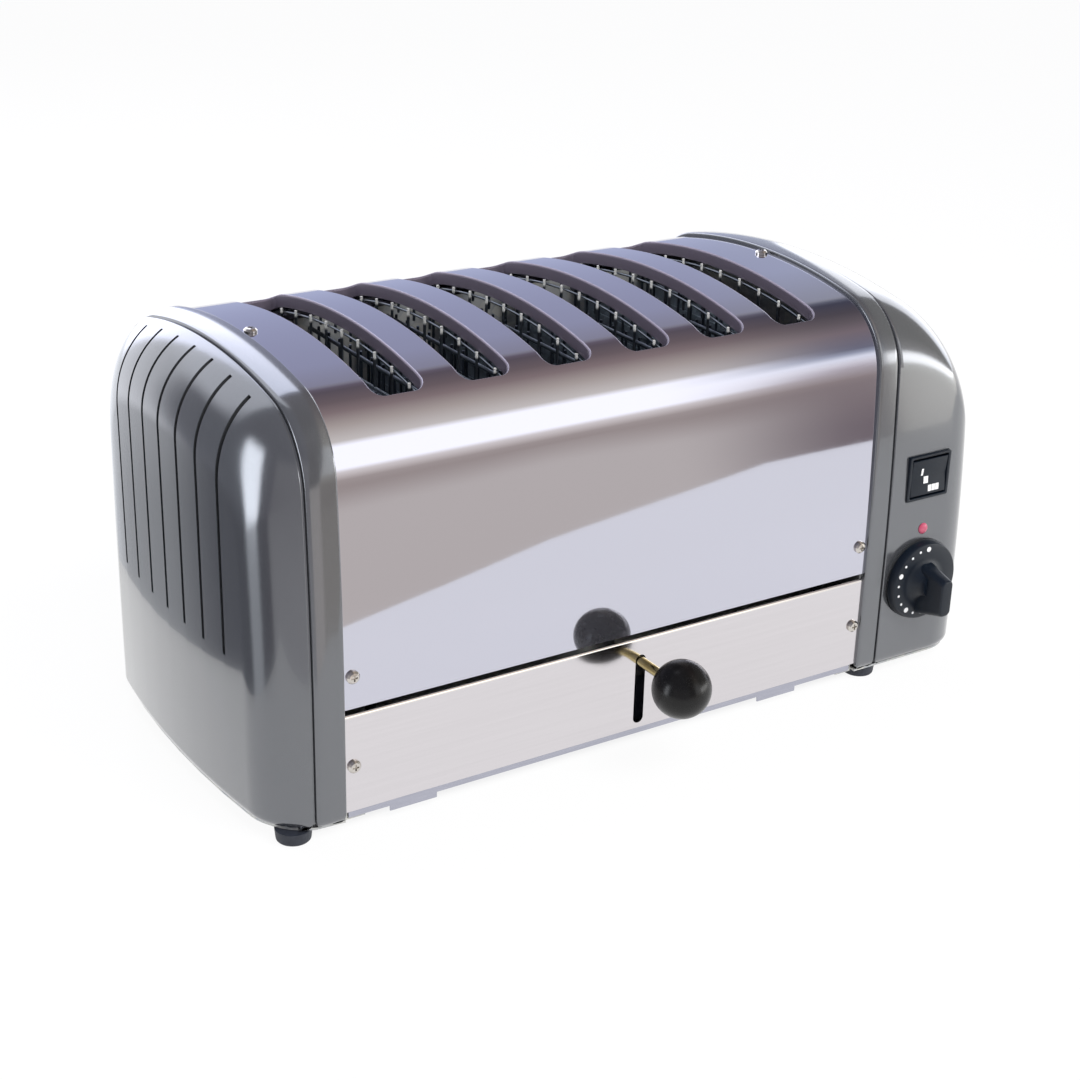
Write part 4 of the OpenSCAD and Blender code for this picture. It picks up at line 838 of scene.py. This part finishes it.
bm = bmesh.new()
sweep = [pi / 2 * i / 10 for i in range(11)]
turned_profile(bm, [(0, 0), (knob_r - 0.6, 0), (knob_r - 0.15, 0.15), (knob_r, 0.6),
                    (knob_r - 0.6, knob_skirt - 1.5), (knob_r - 0.85, knob_skirt - 0.8),
                    (knob_r - 1.25, knob_skirt - 0.25), (knob_r - 1.8, knob_skirt)]
               + [(hub_r * (1 - 0.5 * sin(a)), knob_skirt + hub_h * (1 - cos(a))) for a in sweep]
               + [(0, knob_skirt + hub_h)],
               knob_at, Vector((0, -1, 0)))
grip = bmesh.new()
for v in bmesh.ops.create_cube(grip, size=2)["verts"]:
    drawn = 1 if v.co.z > 0 else 0
    v.co = Vector((v.co.x * (grip_w / 2 - drawn * grip_side_draw),
                   v.co.y * (grip_l / 2 - drawn * grip_end_draw) + grip_shift, drawn * (knob_grip + 1) - 1))
round_off(grip, [e for e in grip.edges if abs(e.verts[0].co.z - e.verts[1].co.z) > 1], grip_corner, 6)
round_off(grip, [e for e in grip.edges if all(v.co.z > knob_grip - 0.1 for v in e.verts)], grip_edge, 4)
bmesh.ops.recalc_face_normals(grip, faces=grip.faces[:])
bmesh.ops.rotate(grip, cent=(0, 0, 0), matrix=Matrix.Rotation(pi / 2, 3, "X"), verts=grip.verts[:])
bmesh.ops.translate(grip, vec=knob_at - Vector((0, knob_skirt, 0)), verts=grip.verts[:])
held = bpy.data.meshes.new("grip_bar")
grip.to_mesh(held)
grip.free()
bm.from_mesh(held)
bpy.data.meshes.remove(held)
# Moulded thermoset: blue-black, even satin gloss with a fine mould texture, drawn coarse to show
thermoset, tree, surface, place = material("black_thermoset_moulded", "#0b121b", 0, 0.38, IOR=1.42)
mould = mottled(tree, surface, place, 0.8, 2, "#080e16", "#101a26")
add(tree, "Bump", [("Height", mould), ("Strength", 0.2), ("Distance", 0.05 * MM)],
    [("Normal", surface["Normal"])])
finish(bm, "timer_knob_moulded", "timer", thermoset, ["timer_knob"])

# White marking paint: matt, and a little greyer where it has worn
marking, tree, surface, place = material("white_marking_paint", "#e6e6e4", 0, 0.5)
mottled(tree, surface, place, 1.2, 2, "#c9cacc", "#f4f4f2")
bm = bmesh.new()
for i in range(dots):
    turn = radians(dot_first + dot_step * i)
    spot = knob_at + Vector((dot_ring * cos(turn), -knob_skirt - dot_lift, dot_ring * sin(turn)))
    bmesh.ops.create_circle(bm, cap_ends=True, segments=20, radius=dot_big if i % 4 == 0 else dot_small,
                            matrix=Matrix.Translation(spot) @ Matrix.Rotation(pi / 2, 4, "X"))
finish(bm, "timer_dots", "timer", marking)

# The selector is a rocker in a square snap-in frame that sits in a recess of the right casting.
# Both are moulded like the knob; small white blocks on the rocker stand for the number of slots heated.
seat, frame_front, frame_back, frame_r, frame_edge = casting_y - 2.4, 3, 14, 1.2, 0.4
window_w, window_h, window_r = 27, 24, 0.8
rocker_h, rocker_tilt, rocker_front, rocker_gap = window_h / 2 - 1.2, radians(9), 2.2, 0.3
rocker_back, rocker_belly, rocker_draw, rocker_edge = 4, 6, 1.5, 0.5
rocker_end = rocker_front + rocker_h * tan(rocker_tilt / 2)
lean, mark_lift = (rocker_end - rocker_front) / rocker_h, 0.08
bm = bmesh.new()
rounded_loop(bm, 0, 0, selector_w, selector_h, frame_r, steps=4)
rounded_loop(bm, 0, 0, window_w, window_h, window_r, steps=4)
bmesh.ops.triangle_fill(bm, use_beauty=True, edges=bm.edges[:], normal=(0, 0, 1))
rim = [e for e in bm.edges if e.is_boundary]
for v in points_of(bmesh.ops.extrude_edge_only(bm, edges=rim)["geom"]):
    outside = abs(v.co.x) > window_w / 2 + 0.1 or abs(v.co.y) > window_h / 2 + 0.1
    v.co.z -= frame_front if outside else frame_back
round_off(bm, rim, frame_edge, 3)
bmesh.ops.recalc_face_normals(bm, faces=bm.faces[:])
bmesh.ops.rotate(bm, cent=(0, 0, 0), matrix=Matrix.Rotation(pi / 2, 3, "X"), verts=bm.verts[:])
bmesh.ops.translate(bm, vec=(control_at, -seat - frame_front, selector_z), verts=bm.verts[:])
finish(bm, "selector_bezel", "body", thermoset, ["selector_frame"])

bm = bmesh.new()
ends = [bm.verts.new((-window_w / 2 + rocker_gap, y, z)) for y, z in (
    (-rocker_front, 0), (-rocker_end, rocker_h), (rocker_back, rocker_h - rocker_draw), (rocker_belly, 0),
    (rocker_back, rocker_draw - rocker_h), (-rocker_end, -rocker_h))]
bmesh.ops.contextual_create(bm, geom=ends)
made = bmesh.ops.extrude_face_region(bm, geom=bm.faces[:])["geom"]
bmesh.ops.translate(bm, vec=(window_w - 2 * rocker_gap, 0, 0), verts=points_of(made))
round_off(bm, [e for e in bm.edges if all(v.co.y < 0 for v in e.verts)], rocker_edge, 3)
bmesh.ops.recalc_face_normals(bm, faces=bm.faces[:])
bmesh.ops.translate(bm, vec=(control_at, -seat, selector_z), verts=bm.verts[:])
finish(bm, "selector_rocker_moulded", "selector", thermoset, ["selector_rocker"])

bm = bmesh.new()
for x, z, w, h in ((-5.3, 3.4, 1.5, 4.2), (-2, -1.8, 3.4, 4.2), (1.2, -7.2, 2.5, 3.8), (4, -7.2, 2.5, 3.8),
                   (6.8, -7.2, 2.5, 3.8)):
    for v in bmesh.ops.create_grid(bm, x_segments=1, y_segments=1, size=0.5)["verts"]:
        up = z + v.co.y * h
        v.co = Vector((control_at + x + v.co.x * w, -seat - rocker_front - abs(up) * lean - mark_lift,
                       selector_z + up))
bmesh.ops.recalc_face_normals(bm, faces=bm.faces[:])
finish(bm, "selector_marks", "selector", marking)

# The indicator is a neon lamp behind a small domed lens pushed through the casting.
# The lens is clear red acrylic; unlit it looks a dull rose.
lamp_z, lamp_r, dome_h, lamp_neck, lamp_back, lamp_flange = 89.5, 3.3, 1.32, 6.5, 18, 1.5
lens_red, tree, surface, place = material("red_acrylic_lens", "#b14a63", 0, 0.16, Coat_Weight=0.3)
mottled(tree, surface, place, 2, 1, "#a23a54", "#c05872")
bm = bmesh.new()
dome = [(lamp_r * sin(a), dome_h * cos(a)) for a in [pi / 2 * i / 12 for i in range(13)]]
turned_profile(bm, dome + [(lamp_r, -lamp_neck), (lamp_r + lamp_flange, -lamp_neck),
                           (lamp_r + lamp_flange, -lamp_back), (0, -lamp_back)],
               Vector((control_at, -casting_y, lamp_z)), Vector((0, -1, 0)))
finish(bm, "indicator_lens", "body", lens_red, ["indicator_lamp"])

# Inside the control end sit the timer's plated case and a ceramic terminal block; the gland is at the back.
# The gland is moulded black like the knob, the case dull plate and the block glazed ceramic.
plate, tree, surface, place = material("dull_plated_case", "#6a6c70", 1, 0.45)
cloud = add(tree, "TexNoise", [("Vector", place), ("Scale", 1 / (5 * MM)), ("Detail", 3.0)])
add(tree, "MapRange", [("Value", cloud.outputs["Fac"]), ("To Min", 0.36), ("To Max", 0.56)],
    [("Result", surface["Roughness"])])
dress(plate, "timer_body")
glazed, tree, surface, place = material("ceramic_glazed", "#dcd8cd", 0, 0.22)
mottled(tree, surface, place, 7, 2, "#d2cdc0", "#e6e3da")
dress(glazed, "terminal_block")
dress(thermoset, "cable_gland")

low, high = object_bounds()
